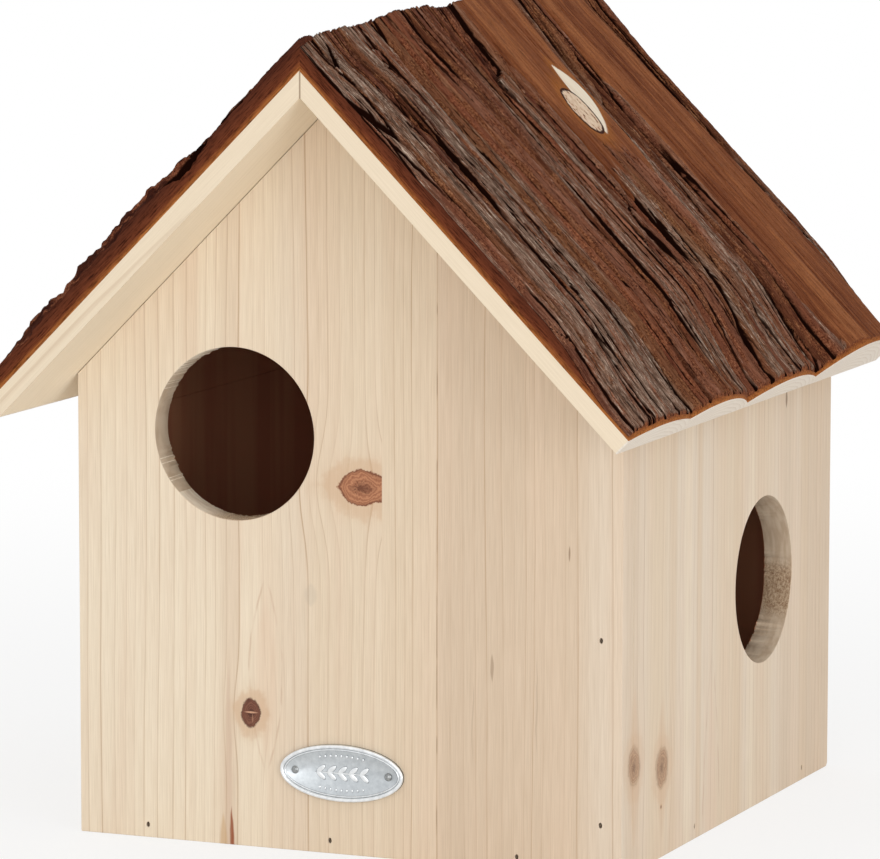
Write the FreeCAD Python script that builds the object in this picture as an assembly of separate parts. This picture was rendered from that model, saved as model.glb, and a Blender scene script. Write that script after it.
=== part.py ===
import FreeCAD, Part
import math
import os

# A nest box for squirrels: a gabled box of pale boards with two round entrances, a cleaning door in
# its left side and a roof of bark-on slabs. Millimetres, +Z up, +Y from the front to the back, +X to
# the right of someone facing the front. The origin is on the ground, under the middle of the roof.

os.makedirs("parts", exist_ok=True)
V = FreeCAD.Vector

# Box
BOX_WIDTH = 250.0
BOX_DEPTH = 264.0
WALL_HEIGHT = 200.0              # outside of a side wall, ground to roof
BOARD = 13.0                     # thickness of the walls, the door and the floor
ENTRANCE_DIAMETER = 74.0
FRONT_ENTRANCE_LEFT = 51.5       # of the box's middle, to the entrance's centre
FRONT_ENTRANCE_HEIGHT = 177.5
SIDE_ENTRANCE_FROM_FRONT = 175.0
SIDE_ENTRANCE_HEIGHT = 100.0

# Roof
ROOF_PITCH = 45.0                # degrees
FRONT_OVERHANG = 46.0
REAR_OVERHANG = 20.0
EAVE_OVERHANG = 14.5             # level, from the side wall to the eave's lower corner
ROOF_THICKNESS = 22.0            # wood and bark together at the crown of a slab
VERGE_THICKNESS = 18.0           # wood and bark together at the sawn front and rear edges
JOINT_THICKNESS = 17.5           # wood and bark together where two slabs meet
FURROW_WIDTH = 5.0               # of a main furrow in the bark, at its top
FURROW_DEPTH = 2.6
BARK_STEP = 12.0                 # the bark's crown is built of flats about this wide
BARK_BEVEL = 55.0                # degrees that the bark's sawn eave leans back from the wood's
CUT_MARGIN = 5.0                 # how far a cutting shape passes what it cuts

# Slabs from the front to the rear: share of the roof's depth, then the wood's thickness at the front
# edge, at the crown and at the rear edge.
SLABS = {
    "right": [(72.0, 7.6, 11.6, 7.8), (78.0, 7.8, 12.5, 3.5), (86.0, 3.5, 11.5, 5.0), (94.0, 5.0, 19.5, 9.0)],
    "left": [(88.0, 8.0, 12.0, 5.0), (76.0, 5.0, 12.5, 4.5), (84.0, 4.5, 19.5, 5.0), (82.0, 5.0, 12.5, 8.0)],
}
SIDES = {"right": 1, "left": -1}

# Main furrows in each slab's bark: how far across the slab they run, as shares of its width
FURROWS = {
    "right": [(0.15, 0.31, 0.48, 0.74), (0.22, 0.47, 0.72), (0.24, 0.88), (0.14, 0.92)],
    "left": [(0.2, 0.42, 0.63, 0.85), (0.25, 0.5, 0.75), (0.12, 0.88), (0.2, 0.45, 0.72)],
}

# Cleaning door
DOOR_GAP = 1.2                   # round the door's front, rear and top edges
DOOR_LIFT = 1.5                  # under the door
DOOR_STOP_GAP = 0.3              # between the shut door and the floor's end
DOOR_UNDER_EAVE = 4.5            # the open door passes this far under the eave
FINGER_NOTCH_RADIUS = 10.0
FINGER_NOTCH_FROM_EDGE = 42.0    # from the door's front edge

# Butt hinges of the door
HINGE_HEIGHT = 40.0
HINGE_INSET = 34.0               # from the door's top and bottom edges to the middle of a hinge
LEAF_WIDTH = 11.5                # from the hinge's axis
LEAF_THICKNESS = 1.0
KNUCKLE_RADIUS = 2.3
KNUCKLE_STANDOFF = 0.2           # between a knuckle and the wood
KNUCKLE_GAP = 0.3                # between the knuckles of the two leaves
PIN_RADIUS = 1.2
PIN_PLAY = 0.05
PIN_HEAD_RADIUS = 1.9
PIN_HEAD_HEIGHT = 0.8
HINGE_SCREW_INSET = 8.0          # from a leaf's top and bottom edges

# Countersunk screws
SCREW_HEAD_RADIUS = 2.2
SCREW_SHANK_RADIUS = 1.1
SCREW_HEAD_HEIGHT = 1.1
SCREW_LENGTH = 10.0
SCREW_SLOT_WIDTH = 0.6
SCREW_SLOT_DEPTH = 0.5
SCREW_PLAY = 0.05

# Turn button on the header rail
BUTTON_LENGTH = 34.0
BUTTON_WIDTH = 10.0
BUTTON_THICKNESS = 2.0
BUTTON_FROM_FRONT = 62.0         # from the box's front face to the pivot
BUTTON_ABOVE_RAIL = 6.2          # from the header rail's lower edge to the pivot
BUTTON_PLAY = 0.1                # on each face of the button
BUTTON_BORE_PLAY = 0.06
WASHER_RADIUS = 4.5
WASHER_THICKNESS = 0.6
PIVOT_RADIUS = 1.7
PIVOT_LENGTH = 11.0              # in the header rail
PIVOT_HEAD_RADIUS = 3.4
PIVOT_HEAD_HEIGHT = 2.0

# Nails
NAIL_RADIUS = 0.8
NAIL_HEAD_RADIUS = 1.3
NAIL_HEAD_HEIGHT = 0.8
NAIL_LENGTH = 32.0
NAIL_PLAY = 0.05
WALL_NAIL_FROM_EDGE = 9.5        # from the box's right side
WALL_NAIL_FROM_GROUND = 22.0     # the lower nail; the upper one is halfway up the side wall
FLOOR_NAIL_HEIGHT = 5.5
FLOOR_NAIL_FROM_LEFT = 32.0
FLOOR_NAIL_FROM_RIGHT = 47.0
SIDE_NAIL_FROM_FRONT = 88.5
SIDE_NAIL_FROM_BACK = 35.5
ROOF_NAIL_FROM_RIDGE = 55.0
ROOF_NAIL_FROM_EAVE = 50.0
ROOF_NAIL_SINK = 0.4             # the heads lie this far under the bark

# Oval plate on the front
PLATE_WIDTH = 57.0
PLATE_HEIGHT = 24.6
PLATE_THICKNESS = 1.2
PLATE_RIM_WIDTH = 1.8
PLATE_RIM_HEIGHT = 0.8
PLATE_LEFT = 1.5                 # of the box's middle, to the plate's centre
PLATE_CENTRE_HEIGHT = 35.2
PLATE_PIN_SPACING = 43.0
PLATE_PIN_RADIUS = 0.7
PLATE_PIN_HEAD_RADIUS = 1.7
PLATE_PIN_HEAD_HEIGHT = 0.9
PLATE_PIN_LENGTH = 9.0

# Keyhole hanger on the back
HANGER_WIDTH = 62.0
HANGER_HEIGHT = 28.0
HANGER_THICKNESS = 1.5
HANGER_UNDER_RIDGE = 66.0
HANGER_SCREW_SPACING = 44.0
KEYHOLE_RADIUS = 5.0
KEYHOLE_SLOT_WIDTH = 4.8
KEYHOLE_TRAVEL = 8.0             # from the round hole's centre up to the slot's end
KEYHOLE_DROP = 4.0               # of the round hole's centre below the plate's centre
POCKET_MARGIN = 1.5              # of the pocket behind the keyhole, beyond the hole's edge
POCKET_DEPTH = 7.0

# Places worked out from the sizes
PITCH = math.radians(ROOF_PITCH)
ROOF_DEPTH = FRONT_OVERHANG + BOX_DEPTH + REAR_OVERHANG
ROOF_FRONT = -ROOF_DEPTH / 2
FRONT = ROOF_FRONT + FRONT_OVERHANG
BACK = FRONT + BOX_DEPTH
INNER_FRONT = FRONT + BOARD
INNER_BACK = BACK - BOARD
SIDE = BOX_WIDTH / 2
INNER_SIDE = SIDE - BOARD
RIDGE = WALL_HEIGHT + SIDE * math.tan(PITCH)
SLOPE = (SIDE + EAVE_OVERHANG) / math.cos(PITCH)
ENTRANCE_RADIUS = ENTRANCE_DIAMETER / 2


def under_roof(x):
    return RIDGE - abs(x) * math.tan(PITCH)


DOOR_TOP = under_roof(SIDE + EAVE_OVERHANG) - DOOR_UNDER_EAVE
DOOR_FRONT = INNER_FRONT + DOOR_GAP
DOOR_REAR = INNER_BACK - DOOR_GAP
RAIL_BOTTOM = DOOR_TOP + DOOR_GAP
HINGE_X = -SIDE - KNUCKLE_STANDOFF - KNUCKLE_RADIUS
HINGE_Y = INNER_BACK - DOOR_GAP / 2


# Plain shapes

def block(x0, x1, y0, y1, z0, z1):
    return Part.makeBox(x1 - x0, y1 - y0, z1 - z0, V(x0, y0, z0))


def rod(start, direction, radius, length):
    return Part.makeCylinder(radius, length, start, direction)


def prism(points, along):
    return Part.Face(Part.makePolygon(points + points[:1])).extrude(along)


def cut(shape, tools):
    return shape.cut(tools).Solids[0]


def save(name, *solids):
    shape = solids[0] if len(solids) == 1 else Part.makeCompound(list(solids))
    shape.exportStep("parts/" + name + ".step")


# Nails and screws: each is made from the middle of its head, along its length. The hole for one is
# the same shape with some play, open past the head.

def nail(start, direction, play=0.0):
    shank = rod(start, direction, NAIL_RADIUS + play, NAIL_LENGTH + play)
    head = rod(start, direction, NAIL_HEAD_RADIUS + play, NAIL_HEAD_HEIGHT + play)
    return shank.fuse(head).removeSplitter()


def nail_hole(start, direction):
    outside = start - direction * NAIL_HEAD_HEIGHT
    mouth = rod(outside, direction, NAIL_HEAD_RADIUS + NAIL_PLAY, NAIL_HEAD_HEIGHT)
    return nail(start, direction, NAIL_PLAY).fuse(mouth)


def screw(start, direction, slot_along):
    across = direction.cross(slot_along)
    body = screw_hole(start, direction, 0.0)
    corner = start - slot_along * SCREW_HEAD_RADIUS - across * (SCREW_SLOT_WIDTH / 2)
    edge = [corner, corner + across * SCREW_SLOT_WIDTH]
    edge += [point + slot_along * (2 * SCREW_HEAD_RADIUS) for point in reversed(edge)]
    return cut(body, [prism(edge, direction * SCREW_SLOT_DEPTH)])


def screw_hole(start, direction, play=SCREW_PLAY):
    head = Part.makeCone(
        SCREW_HEAD_RADIUS + play, SCREW_SHANK_RADIUS + play, SCREW_HEAD_HEIGHT, start, direction
    )
    shank = rod(start, direction, SCREW_SHANK_RADIUS + play, SCREW_LENGTH + play)
    return head.fuse(shank).removeSplitter()


# Boards of the box

def gable(y):
    corners = [(-SIDE, 0), (SIDE, 0), (SIDE, WALL_HEIGHT), (0, RIDGE), (-SIDE, WALL_HEIGHT)]
    return prism([V(x, y, z) for x, z in corners], V(0, BOARD, 0))


def side_board(side, bottom):
    corners = [
        (INNER_SIDE, bottom), (SIDE, bottom), (SIDE, WALL_HEIGHT), (INNER_SIDE, under_roof(INNER_SIDE))
    ]
    return prism([V(side * x, INNER_FRONT, z) for x, z in corners], V(0, INNER_BACK - INNER_FRONT, 0))


def cleaning_door():
    board = block(-SIDE, -INNER_SIDE, DOOR_FRONT, DOOR_REAR, DOOR_LIFT, DOOR_TOP)
    notch_start = V(-SIDE, DOOR_FRONT + FINGER_NOTCH_FROM_EDGE, DOOR_LIFT)
    return cut(board, [rod(notch_start, V(1, 0, 0), FINGER_NOTCH_RADIUS, BOARD)])


# Roof: y runs along the ridge, s down the slope from the ridge's underside, n out of the slope.

def on_slope(side, s, y, n):
    x = s * math.cos(PITCH) + n * math.sin(PITCH)
    z = RIDGE - s * math.sin(PITCH) + n * math.cos(PITCH)
    return V(side * x, y, z)


def slope_vector(side, s, n):
    return on_slope(side, s, 0, n) - on_slope(side, 0, 0, 0)


class Slab:
    """One bark-on slab: flat underneath, its wood crowned, its bark furrowed."""

    def __init__(self, side, y0, y1, edge0, crown, edge1, bark0, bark1, furrows):
        self.side = side
        self.y0 = y0
        self.y1 = y1
        self.middle = (y0 + y1) / 2
        self.wood0 = edge0
        self.crown = crown
        self.wood1 = edge1
        self.bark0 = bark0
        self.bark1 = bark1
        self.furrows = [y0 + (y1 - y0) * share for share in furrows]
        self.circle = Part.Circle(V(y0, edge0, 0), V(self.middle, crown, 0), V(y1, edge1, 0))
        self.run_up = ROOF_THICKNESS * math.tan(PITCH) + CUT_MARGIN

    def point(self, y, n):
        return on_slope(self.side, -self.run_up, y, n)

    def crown_arc(self):
        ends = self.point(self.y0, self.wood0), self.point(self.y1, self.wood1)
        return Part.Arc(ends[0], self.point(self.middle, self.crown), ends[1])

    def wood_height(self, y):
        centre = self.circle.Center
        return centre.y + math.sqrt(self.circle.Radius ** 2 - (y - centre.x) ** 2)

    def bark_height(self, y):
        place = (y - self.middle) / (self.middle - self.y0)
        edges = (self.bark0 * (1 - place) + self.bark1 * (1 + place)) / 2
        middle = ROOF_THICKNESS - self.crown - (self.bark0 + self.bark1) / 2
        return edges + middle * (1 - place * place)

    def down_slope(self, profile):
        solid = profile.extrude(slope_vector(self.side, SLOPE + self.run_up, 0))
        far = -self.side * SLOPE
        low = self.y0 - CUT_MARGIN
        high = self.y1 + CUT_MARGIN
        other_side = [V(0, low, 0), V(far, low, 0), V(far, high, 0), V(0, high, 0)]
        return cut(solid, [prism(other_side, V(0, 0, 2 * RIDGE))])

    def wood(self):
        foot = [self.point(self.y1, self.wood1), self.point(self.y1, 0), self.point(self.y0, 0)]
        lines = Part.makePolygon(foot + [self.point(self.y0, self.wood0)])
        return self.down_slope(Part.Face(Part.Wire([self.crown_arc().toShape()] + lines.Edges)))

    def bark_top(self):
        """(y, n) across the bark: flats between the furrows, which are cut as shallow Vs."""
        starts = [self.y0] + [y + FURROW_WIDTH / 2 for y in self.furrows]
        ends = [y - FURROW_WIDTH / 2 for y in self.furrows] + [self.y1]
        top = []
        for number, (start, end) in enumerate(zip(starts, ends)):
            steps = max(1, round((end - start) / BARK_STEP))
            flats = [start + (end - start) * step / steps for step in range(steps + 1)]
            top += [(y, self.wood_height(y) + self.bark_height(y)) for y in flats]
            if number < len(self.furrows):
                y = self.furrows[number]
                top.append((y, self.wood_height(y) + self.bark_height(y) - FURROW_DEPTH))
        return top

    def bark(self):
        corners = [(self.y0, self.wood0)] + self.bark_top() + [(self.y1, self.wood1)]
        top = [self.point(y, n) for y, n in corners]
        profile = Part.Face(Part.Wire([self.crown_arc().toShape()] + Part.makePolygon(top).Edges))
        return cut(self.down_slope(profile), [self.eave_bevel()])

    def eave_bevel(self):
        high = 3 * ROOF_THICKNESS
        over = [self.point(self.y1, self.wood1), self.point(self.y1, high), self.point(self.y0, high)]
        lines = Part.makePolygon(over + [self.point(self.y0, self.wood0)])
        profile = Part.Face(Part.Wire([self.crown_arc().toShape()] + lines.Edges))
        profile.translate(slope_vector(self.side, SLOPE + self.run_up, 0))
        lean = math.tan(math.radians(BARK_BEVEL))
        return profile.extrude(slope_vector(self.side, -high * lean, high))

    def nail_heads(self, y):
        depth = self.wood_height(y) - ROOF_NAIL_SINK
        return [on_slope(self.side, s, y, depth) for s in (ROOF_NAIL_FROM_RIDGE, SLOPE - ROOF_NAIL_FROM_EAVE)]


def slope_slabs(name):
    rows = SLABS[name]
    total = sum(row[0] for row in rows)
    slabs = []
    y = ROOF_FRONT
    for number, (share, edge0, crown, edge1) in enumerate(rows):
        bark0 = (VERGE_THICKNESS if number == 0 else JOINT_THICKNESS) - edge0
        bark1 = (VERGE_THICKNESS if number == len(rows) - 1 else JOINT_THICKNESS) - edge1
        reach = y + ROOF_DEPTH * share / total
        slabs.append(Slab(SIDES[name], y, reach, edge0, crown, edge1, bark0, bark1, FURROWS[name][number]))
        y = reach
    return slabs


# Hinges: the frame leaf has the outer two knuckles and the door leaf the middle one.

def hinge_leaf(towards, bottom, knuckles):
    near = HINGE_Y + towards * (KNUCKLE_RADIUS + KNUCKLE_GAP)
    far = HINGE_Y + towards * LEAF_WIDTH
    leaf = block(-SIDE - LEAF_THICKNESS, -SIDE, min(near, far), max(near, far), bottom, bottom + HINGE_HEIGHT)
    for low, high in knuckles:
        tab = block(-SIDE - LEAF_THICKNESS, -SIDE, min(HINGE_Y, near), max(HINGE_Y, near), low, high)
        barrel = rod(V(HINGE_X, HINGE_Y, low), V(0, 0, 1), KNUCKLE_RADIUS, high - low)
        leaf = leaf.fuse(tab).fuse(barrel)
    bore = rod(V(HINGE_X, HINGE_Y, bottom), V(0, 0, 1), PIN_RADIUS + PIN_PLAY, HINGE_HEIGHT)
    return cut(leaf.removeSplitter(), [bore])


def hinge_pin(bottom):
    up = V(0, 0, 1)
    pin = rod(V(HINGE_X, HINGE_Y, bottom), up, PIN_RADIUS, HINGE_HEIGHT)
    for z in (bottom - PIN_HEAD_HEIGHT, bottom + HINGE_HEIGHT):
        pin = pin.fuse(rod(V(HINGE_X, HINGE_Y, z), up, PIN_HEAD_RADIUS, PIN_HEAD_HEIGHT))
    return pin.removeSplitter()


def hinge_screw_places(towards, bottom):
    y = HINGE_Y + towards * (LEAF_WIDTH + KNUCKLE_RADIUS + KNUCKLE_GAP) / 2
    heights = (bottom + HINGE_SCREW_INSET, bottom + HINGE_HEIGHT - HINGE_SCREW_INSET)
    return [V(-SIDE - LEAF_THICKNESS, y, z) for z in heights]


# Turn button, lying along the header rail, clear of the door

def turn_button(pivot):
    outer = -SIDE - WASHER_THICKNESS - BUTTON_PLAY - BUTTON_THICKNESS
    reach = BUTTON_LENGTH - BUTTON_WIDTH
    half = BUTTON_WIDTH / 2
    bar = block(outer, outer + BUTTON_THICKNESS, pivot.y - reach, pivot.y, pivot.z - half, pivot.z + half)
    for y in (pivot.y - reach, pivot.y):
        bar = bar.fuse(rod(V(outer, y, pivot.z), V(1, 0, 0), half, BUTTON_THICKNESS))
    bore = rod(V(outer, pivot.y, pivot.z), V(1, 0, 0), PIVOT_RADIUS + BUTTON_BORE_PLAY, BUTTON_THICKNESS)
    return cut(bar.removeSplitter(), [bore])


def pivot_screw(pivot):
    stack = WASHER_THICKNESS + BUTTON_THICKNESS + 2 * BUTTON_PLAY
    shank = rod(V(-SIDE - stack, pivot.y, pivot.z), V(1, 0, 0), PIVOT_RADIUS, stack + PIVOT_LENGTH)
    head = rod(V(-SIDE - stack, pivot.y, pivot.z), V(-1, 0, 0), PIVOT_HEAD_RADIUS, PIVOT_HEAD_HEIGHT)
    slot_face = -SIDE - stack - PIVOT_HEAD_HEIGHT
    slot = block(
        slot_face, slot_face + SCREW_SLOT_DEPTH, pivot.y - PIVOT_HEAD_RADIUS, pivot.y + PIVOT_HEAD_RADIUS,
        pivot.z - SCREW_SLOT_WIDTH / 2, pivot.z + SCREW_SLOT_WIDTH / 2
    )
    return cut(shank.fuse(head).removeSplitter(), [slot])


def washer(pivot):
    start = V(-SIDE - WASHER_THICKNESS, pivot.y, pivot.z)
    bore = rod(start, V(1, 0, 0), PIVOT_RADIUS + SCREW_PLAY, WASHER_THICKNESS)
    return cut(rod(start, V(1, 0, 0), WASHER_RADIUS, WASHER_THICKNESS), [bore])


# Oval plate and its pins

def oval(width, height, y, thickness):
    centre = V(-PLATE_LEFT, y, PLATE_CENTRE_HEIGHT)
    ellipse = Part.Ellipse(V(0, 0, 0), width / 2, height / 2).toShape()
    face = Part.Face(Part.Wire([ellipse]))
    face.rotate(V(0, 0, 0), V(1, 0, 0), 90)
    face.translate(centre)
    return face.extrude(V(0, -thickness, 0))


def oval_plate():
    inside = oval(
        PLATE_WIDTH - 2 * PLATE_RIM_WIDTH, PLATE_HEIGHT - 2 * PLATE_RIM_WIDTH,
        FRONT - PLATE_THICKNESS, PLATE_RIM_HEIGHT
    )
    return cut(oval(PLATE_WIDTH, PLATE_HEIGHT, FRONT, PLATE_THICKNESS + PLATE_RIM_HEIGHT), [inside])


def plate_pin(x, play=0.0):
    start = V(x, FRONT - PLATE_THICKNESS, PLATE_CENTRE_HEIGHT)
    return rod(start, V(0, 1, 0), PLATE_PIN_RADIUS + play, PLATE_PIN_LENGTH + play)


def plate_pin_head(x):
    foot = V(x, FRONT - PLATE_THICKNESS, PLATE_CENTRE_HEIGHT)
    sphere_radius = (PLATE_PIN_HEAD_RADIUS ** 2 + PLATE_PIN_HEAD_HEIGHT ** 2) / (2 * PLATE_PIN_HEAD_HEIGHT)
    ball = Part.makeSphere(sphere_radius, foot + V(0, sphere_radius - PLATE_PIN_HEAD_HEIGHT, 0))
    return ball.common(rod(foot, V(0, -1, 0), PLATE_PIN_HEAD_RADIUS, PLATE_PIN_HEAD_HEIGHT))


# Keyhole hanger

def keyhole(y, radius, slot_width, depth):
    low = RIDGE - HANGER_UNDER_RIDGE - KEYHOLE_DROP
    half = slot_width / 2
    back = V(0, 1, 0)
    shape = rod(V(0, y, low), back, radius, depth)
    shape = shape.fuse(rod(V(0, y, low + KEYHOLE_TRAVEL), back, half, depth))
    return shape.fuse(block(-half, half, y, y + depth, low, low + KEYHOLE_TRAVEL))


def hanger_plate():
    centre = V(0, BACK, RIDGE - HANGER_UNDER_RIDGE)
    half = HANGER_HEIGHT / 2
    reach = HANGER_WIDTH / 2 - half
    plate = block(-reach, reach, BACK, BACK + HANGER_THICKNESS, centre.z - half, centre.z + half)
    for x in (-reach, reach):
        plate = plate.fuse(rod(centre + V(x, 0, 0), V(0, 1, 0), half, HANGER_THICKNESS))
    return cut(plate.removeSplitter(), [keyhole(BACK, KEYHOLE_RADIUS, KEYHOLE_SLOT_WIDTH, HANGER_THICKNESS)])


# Where the nails and screws go

into_back = V(0, 1, 0)
into_front = V(0, -1, 0)
into_left = V(-1, 0, 0)
into_right = V(1, 0, 0)

wall_nail_x = SIDE - WALL_NAIL_FROM_EDGE
wall_nail_heights = [WALL_NAIL_FROM_GROUND, WALL_HEIGHT / 2]
floor_nail_ends = (-SIDE + FLOOR_NAIL_FROM_LEFT, SIDE - FLOOR_NAIL_FROM_RIGHT)
floor_nail_xs = [floor_nail_ends[0], sum(floor_nail_ends) / 2, floor_nail_ends[1]]
rail_nail = V(-(SIDE + INNER_SIDE) / 2, BACK, (RAIL_BOTTOM + WALL_HEIGHT) / 2)

front_wall_nails = [(V(wall_nail_x, FRONT, z), into_back) for z in wall_nail_heights]
front_floor_nails = [(V(x, FRONT, FLOOR_NAIL_HEIGHT), into_back) for x in floor_nail_xs]
back_wall_nails = [(V(wall_nail_x, BACK, z), into_front) for z in wall_nail_heights]
back_wall_nails.append((rail_nail, into_front))
back_floor_nails = [(V(x, BACK, FLOOR_NAIL_HEIGHT), into_front) for x in floor_nail_xs]
side_floor_nails = [
    (V(SIDE, y, FLOOR_NAIL_HEIGHT), into_left)
    for y in (FRONT + SIDE_NAIL_FROM_FRONT, BACK - SIDE_NAIL_FROM_BACK)
]

roof = {name: slope_slabs(name) for name in SLABS}
roof_nails = []
for name, slabs in roof.items():
    down = slope_vector(SIDES[name], 0, -1)
    for slab, y in ((slabs[0], FRONT + BOARD / 2), (slabs[-1], BACK - BOARD / 2)):
        roof_nails += [(head, down) for head in slab.nail_heads(y)]

hinge_bottoms = {
    "lower": DOOR_LIFT + HINGE_INSET - HINGE_HEIGHT / 2,
    "upper": DOOR_TOP - HINGE_INSET - HINGE_HEIGHT / 2,
}
frame_screws = [place for bottom in hinge_bottoms.values() for place in hinge_screw_places(1, bottom)]
door_screws = [place for bottom in hinge_bottoms.values() for place in hinge_screw_places(-1, bottom)]
hanger_screws = [
    V(x, BACK + HANGER_THICKNESS, RIDGE - HANGER_UNDER_RIDGE)
    for x in (-HANGER_SCREW_SPACING / 2, HANGER_SCREW_SPACING / 2)
]
pivot = V(-SIDE, FRONT + BUTTON_FROM_FRONT, RAIL_BOTTOM + BUTTON_ABOVE_RAIL)
plate_pin_xs = [-PLATE_LEFT - PLATE_PIN_SPACING / 2, -PLATE_LEFT + PLATE_PIN_SPACING / 2]

hinge_screw_holes = [screw_hole(place, into_right) for place in frame_screws]
door_screw_holes = [screw_hole(place, into_right) for place in door_screws]
hanger_screw_holes = [screw_hole(place, into_front) for place in hanger_screws]
plate_pin_holes = [plate_pin(x, NAIL_PLAY) for x in plate_pin_xs]
roof_nail_holes = [nail_hole(*place) for place in roof_nails]


def holes(*groups):
    return [nail_hole(*place) for group in groups for place in group]


# Walls, floor and door
front_entrance = rod(
    V(-FRONT_ENTRANCE_LEFT, FRONT, FRONT_ENTRANCE_HEIGHT), into_back, ENTRANCE_RADIUS, BOARD
)
side_entrance = rod(
    V(SIDE, FRONT + SIDE_ENTRANCE_FROM_FRONT, SIDE_ENTRANCE_HEIGHT), into_left, ENTRANCE_RADIUS, BOARD
)
pocket = keyhole(
    BACK - POCKET_DEPTH, KEYHOLE_RADIUS + POCKET_MARGIN, 2 * (KEYHOLE_RADIUS + POCKET_MARGIN), POCKET_DEPTH
)
pivot_hole = rod(pivot, into_right, PIVOT_RADIUS + SCREW_PLAY, PIVOT_LENGTH + SCREW_PLAY)

front_cuts = [front_entrance] + plate_pin_holes + holes(front_wall_nails, front_floor_nails) + roof_nail_holes
back_cuts = [pocket] + hinge_screw_holes + hanger_screw_holes + roof_nail_holes
back_cuts += holes(back_wall_nails, back_floor_nails)
floor_board = block(-INNER_SIDE + DOOR_STOP_GAP, INNER_SIDE, INNER_FRONT, INNER_BACK, 0, BOARD)

save("front_panel", cut(gable(FRONT), front_cuts))
save("back_panel", cut(gable(INNER_BACK), back_cuts))
save("right_wall", cut(
    side_board(1, 0), [side_entrance] + holes(front_wall_nails, back_wall_nails, side_floor_nails)
))
save("left_header_rail", cut(side_board(-1, RAIL_BOTTOM), [pivot_hole] + holes(back_wall_nails)))
save("floor_panel", cut(floor_board, holes(front_floor_nails, back_floor_nails, side_floor_nails)))
save("cleaning_door", cut(cleaning_door(), door_screw_holes))

# Roof
for name, slabs in roof.items():
    for number, slab in enumerate(slabs, 1):
        wood = slab.wood()
        if number in (1, len(slabs)):
            wood = cut(wood, roof_nail_holes)
        save(f"{name}_roof_slab_{number}", wood)
        save(f"{name}_roof_bark_{number}", slab.bark())

# Nails
save("front_wall_nails", *[nail(*place) for place in front_wall_nails])
save("front_floor_nails", *[nail(*place) for place in front_floor_nails])
save("back_wall_nails", *[nail(*place) for place in back_wall_nails])
save("back_floor_nails", *[nail(*place) for place in back_floor_nails])
save("side_floor_nails", *[nail(*place) for place in side_floor_nails])
save("roof_nails", *[nail(*place) for place in roof_nails])

# Hinges
third = HINGE_HEIGHT / 3
for name, bottom in hinge_bottoms.items():
    top = bottom + HINGE_HEIGHT
    outer_knuckles = [(bottom, bottom + third - KNUCKLE_GAP / 2), (top - third + KNUCKLE_GAP / 2, top)]
    middle_knuckle = [(bottom + third + KNUCKLE_GAP / 2, top - third - KNUCKLE_GAP / 2)]
    save(f"{name}_hinge_frame_leaf", cut(hinge_leaf(1, bottom, outer_knuckles), hinge_screw_holes))
    save(f"{name}_hinge_door_leaf", cut(hinge_leaf(-1, bottom, middle_knuckle), door_screw_holes))
    save(f"{name}_hinge_pin", hinge_pin(bottom))
up = V(0, 0, 1)
save("hinge_frame_screws", *[screw(place, into_right, up) for place in frame_screws])
save("hinge_door_screws", *[screw(place, into_right, up) for place in door_screws])

# Turn button
save("turn_button", turn_button(pivot))
save("turn_button_washer", washer(pivot))
save("turn_button_screw", pivot_screw(pivot))

# Plate and hanger
save("oval_plate", cut(oval_plate(), plate_pin_holes))
save("plate_pins", *[plate_pin(x).fuse(plate_pin_head(x)).removeSplitter() for x in plate_pin_xs])
save("hanger_plate", cut(hanger_plate(), hanger_screw_holes))
save("hanger_screws", *[screw(place, into_front, up) for place in hanger_screws])
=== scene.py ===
# The looks of the squirrel nest box: pale fir boards, bark-on roof slabs, a cast zinc plate and steel
# fittings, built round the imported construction. Sizes are millimetres in the part's own frame, with +X to
# the right, +Y to the back and +Z up. Meshes are in metres.

import math
from contextlib import contextmanager

import bpy
import numpy as np
from mathutils import Matrix, Vector


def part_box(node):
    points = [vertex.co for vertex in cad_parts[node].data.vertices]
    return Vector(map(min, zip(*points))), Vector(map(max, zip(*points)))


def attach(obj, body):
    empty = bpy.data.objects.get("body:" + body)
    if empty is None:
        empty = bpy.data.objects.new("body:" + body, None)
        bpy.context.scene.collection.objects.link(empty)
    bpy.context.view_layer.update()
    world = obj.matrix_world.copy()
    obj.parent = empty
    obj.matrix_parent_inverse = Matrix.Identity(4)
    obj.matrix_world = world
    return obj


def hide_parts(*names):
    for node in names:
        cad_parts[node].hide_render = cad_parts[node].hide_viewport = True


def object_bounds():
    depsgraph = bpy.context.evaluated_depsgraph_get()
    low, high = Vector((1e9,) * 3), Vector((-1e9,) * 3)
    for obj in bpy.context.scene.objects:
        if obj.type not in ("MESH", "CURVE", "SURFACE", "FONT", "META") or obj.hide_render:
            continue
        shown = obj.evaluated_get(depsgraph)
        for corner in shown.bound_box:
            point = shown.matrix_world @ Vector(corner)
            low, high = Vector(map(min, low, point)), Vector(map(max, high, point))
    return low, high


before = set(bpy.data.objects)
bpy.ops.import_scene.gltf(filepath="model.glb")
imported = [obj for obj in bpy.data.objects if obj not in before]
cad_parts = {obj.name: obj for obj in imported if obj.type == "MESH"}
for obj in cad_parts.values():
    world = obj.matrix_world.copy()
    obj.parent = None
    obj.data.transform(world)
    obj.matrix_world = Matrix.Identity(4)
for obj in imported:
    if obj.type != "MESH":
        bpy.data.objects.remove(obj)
cad_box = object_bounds()

MM = 0.001                            # metres in a millimetre


def cad(node):
    """The low and the high corner of a node's box."""
    low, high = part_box(node)
    return low / MM, high / MM


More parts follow.
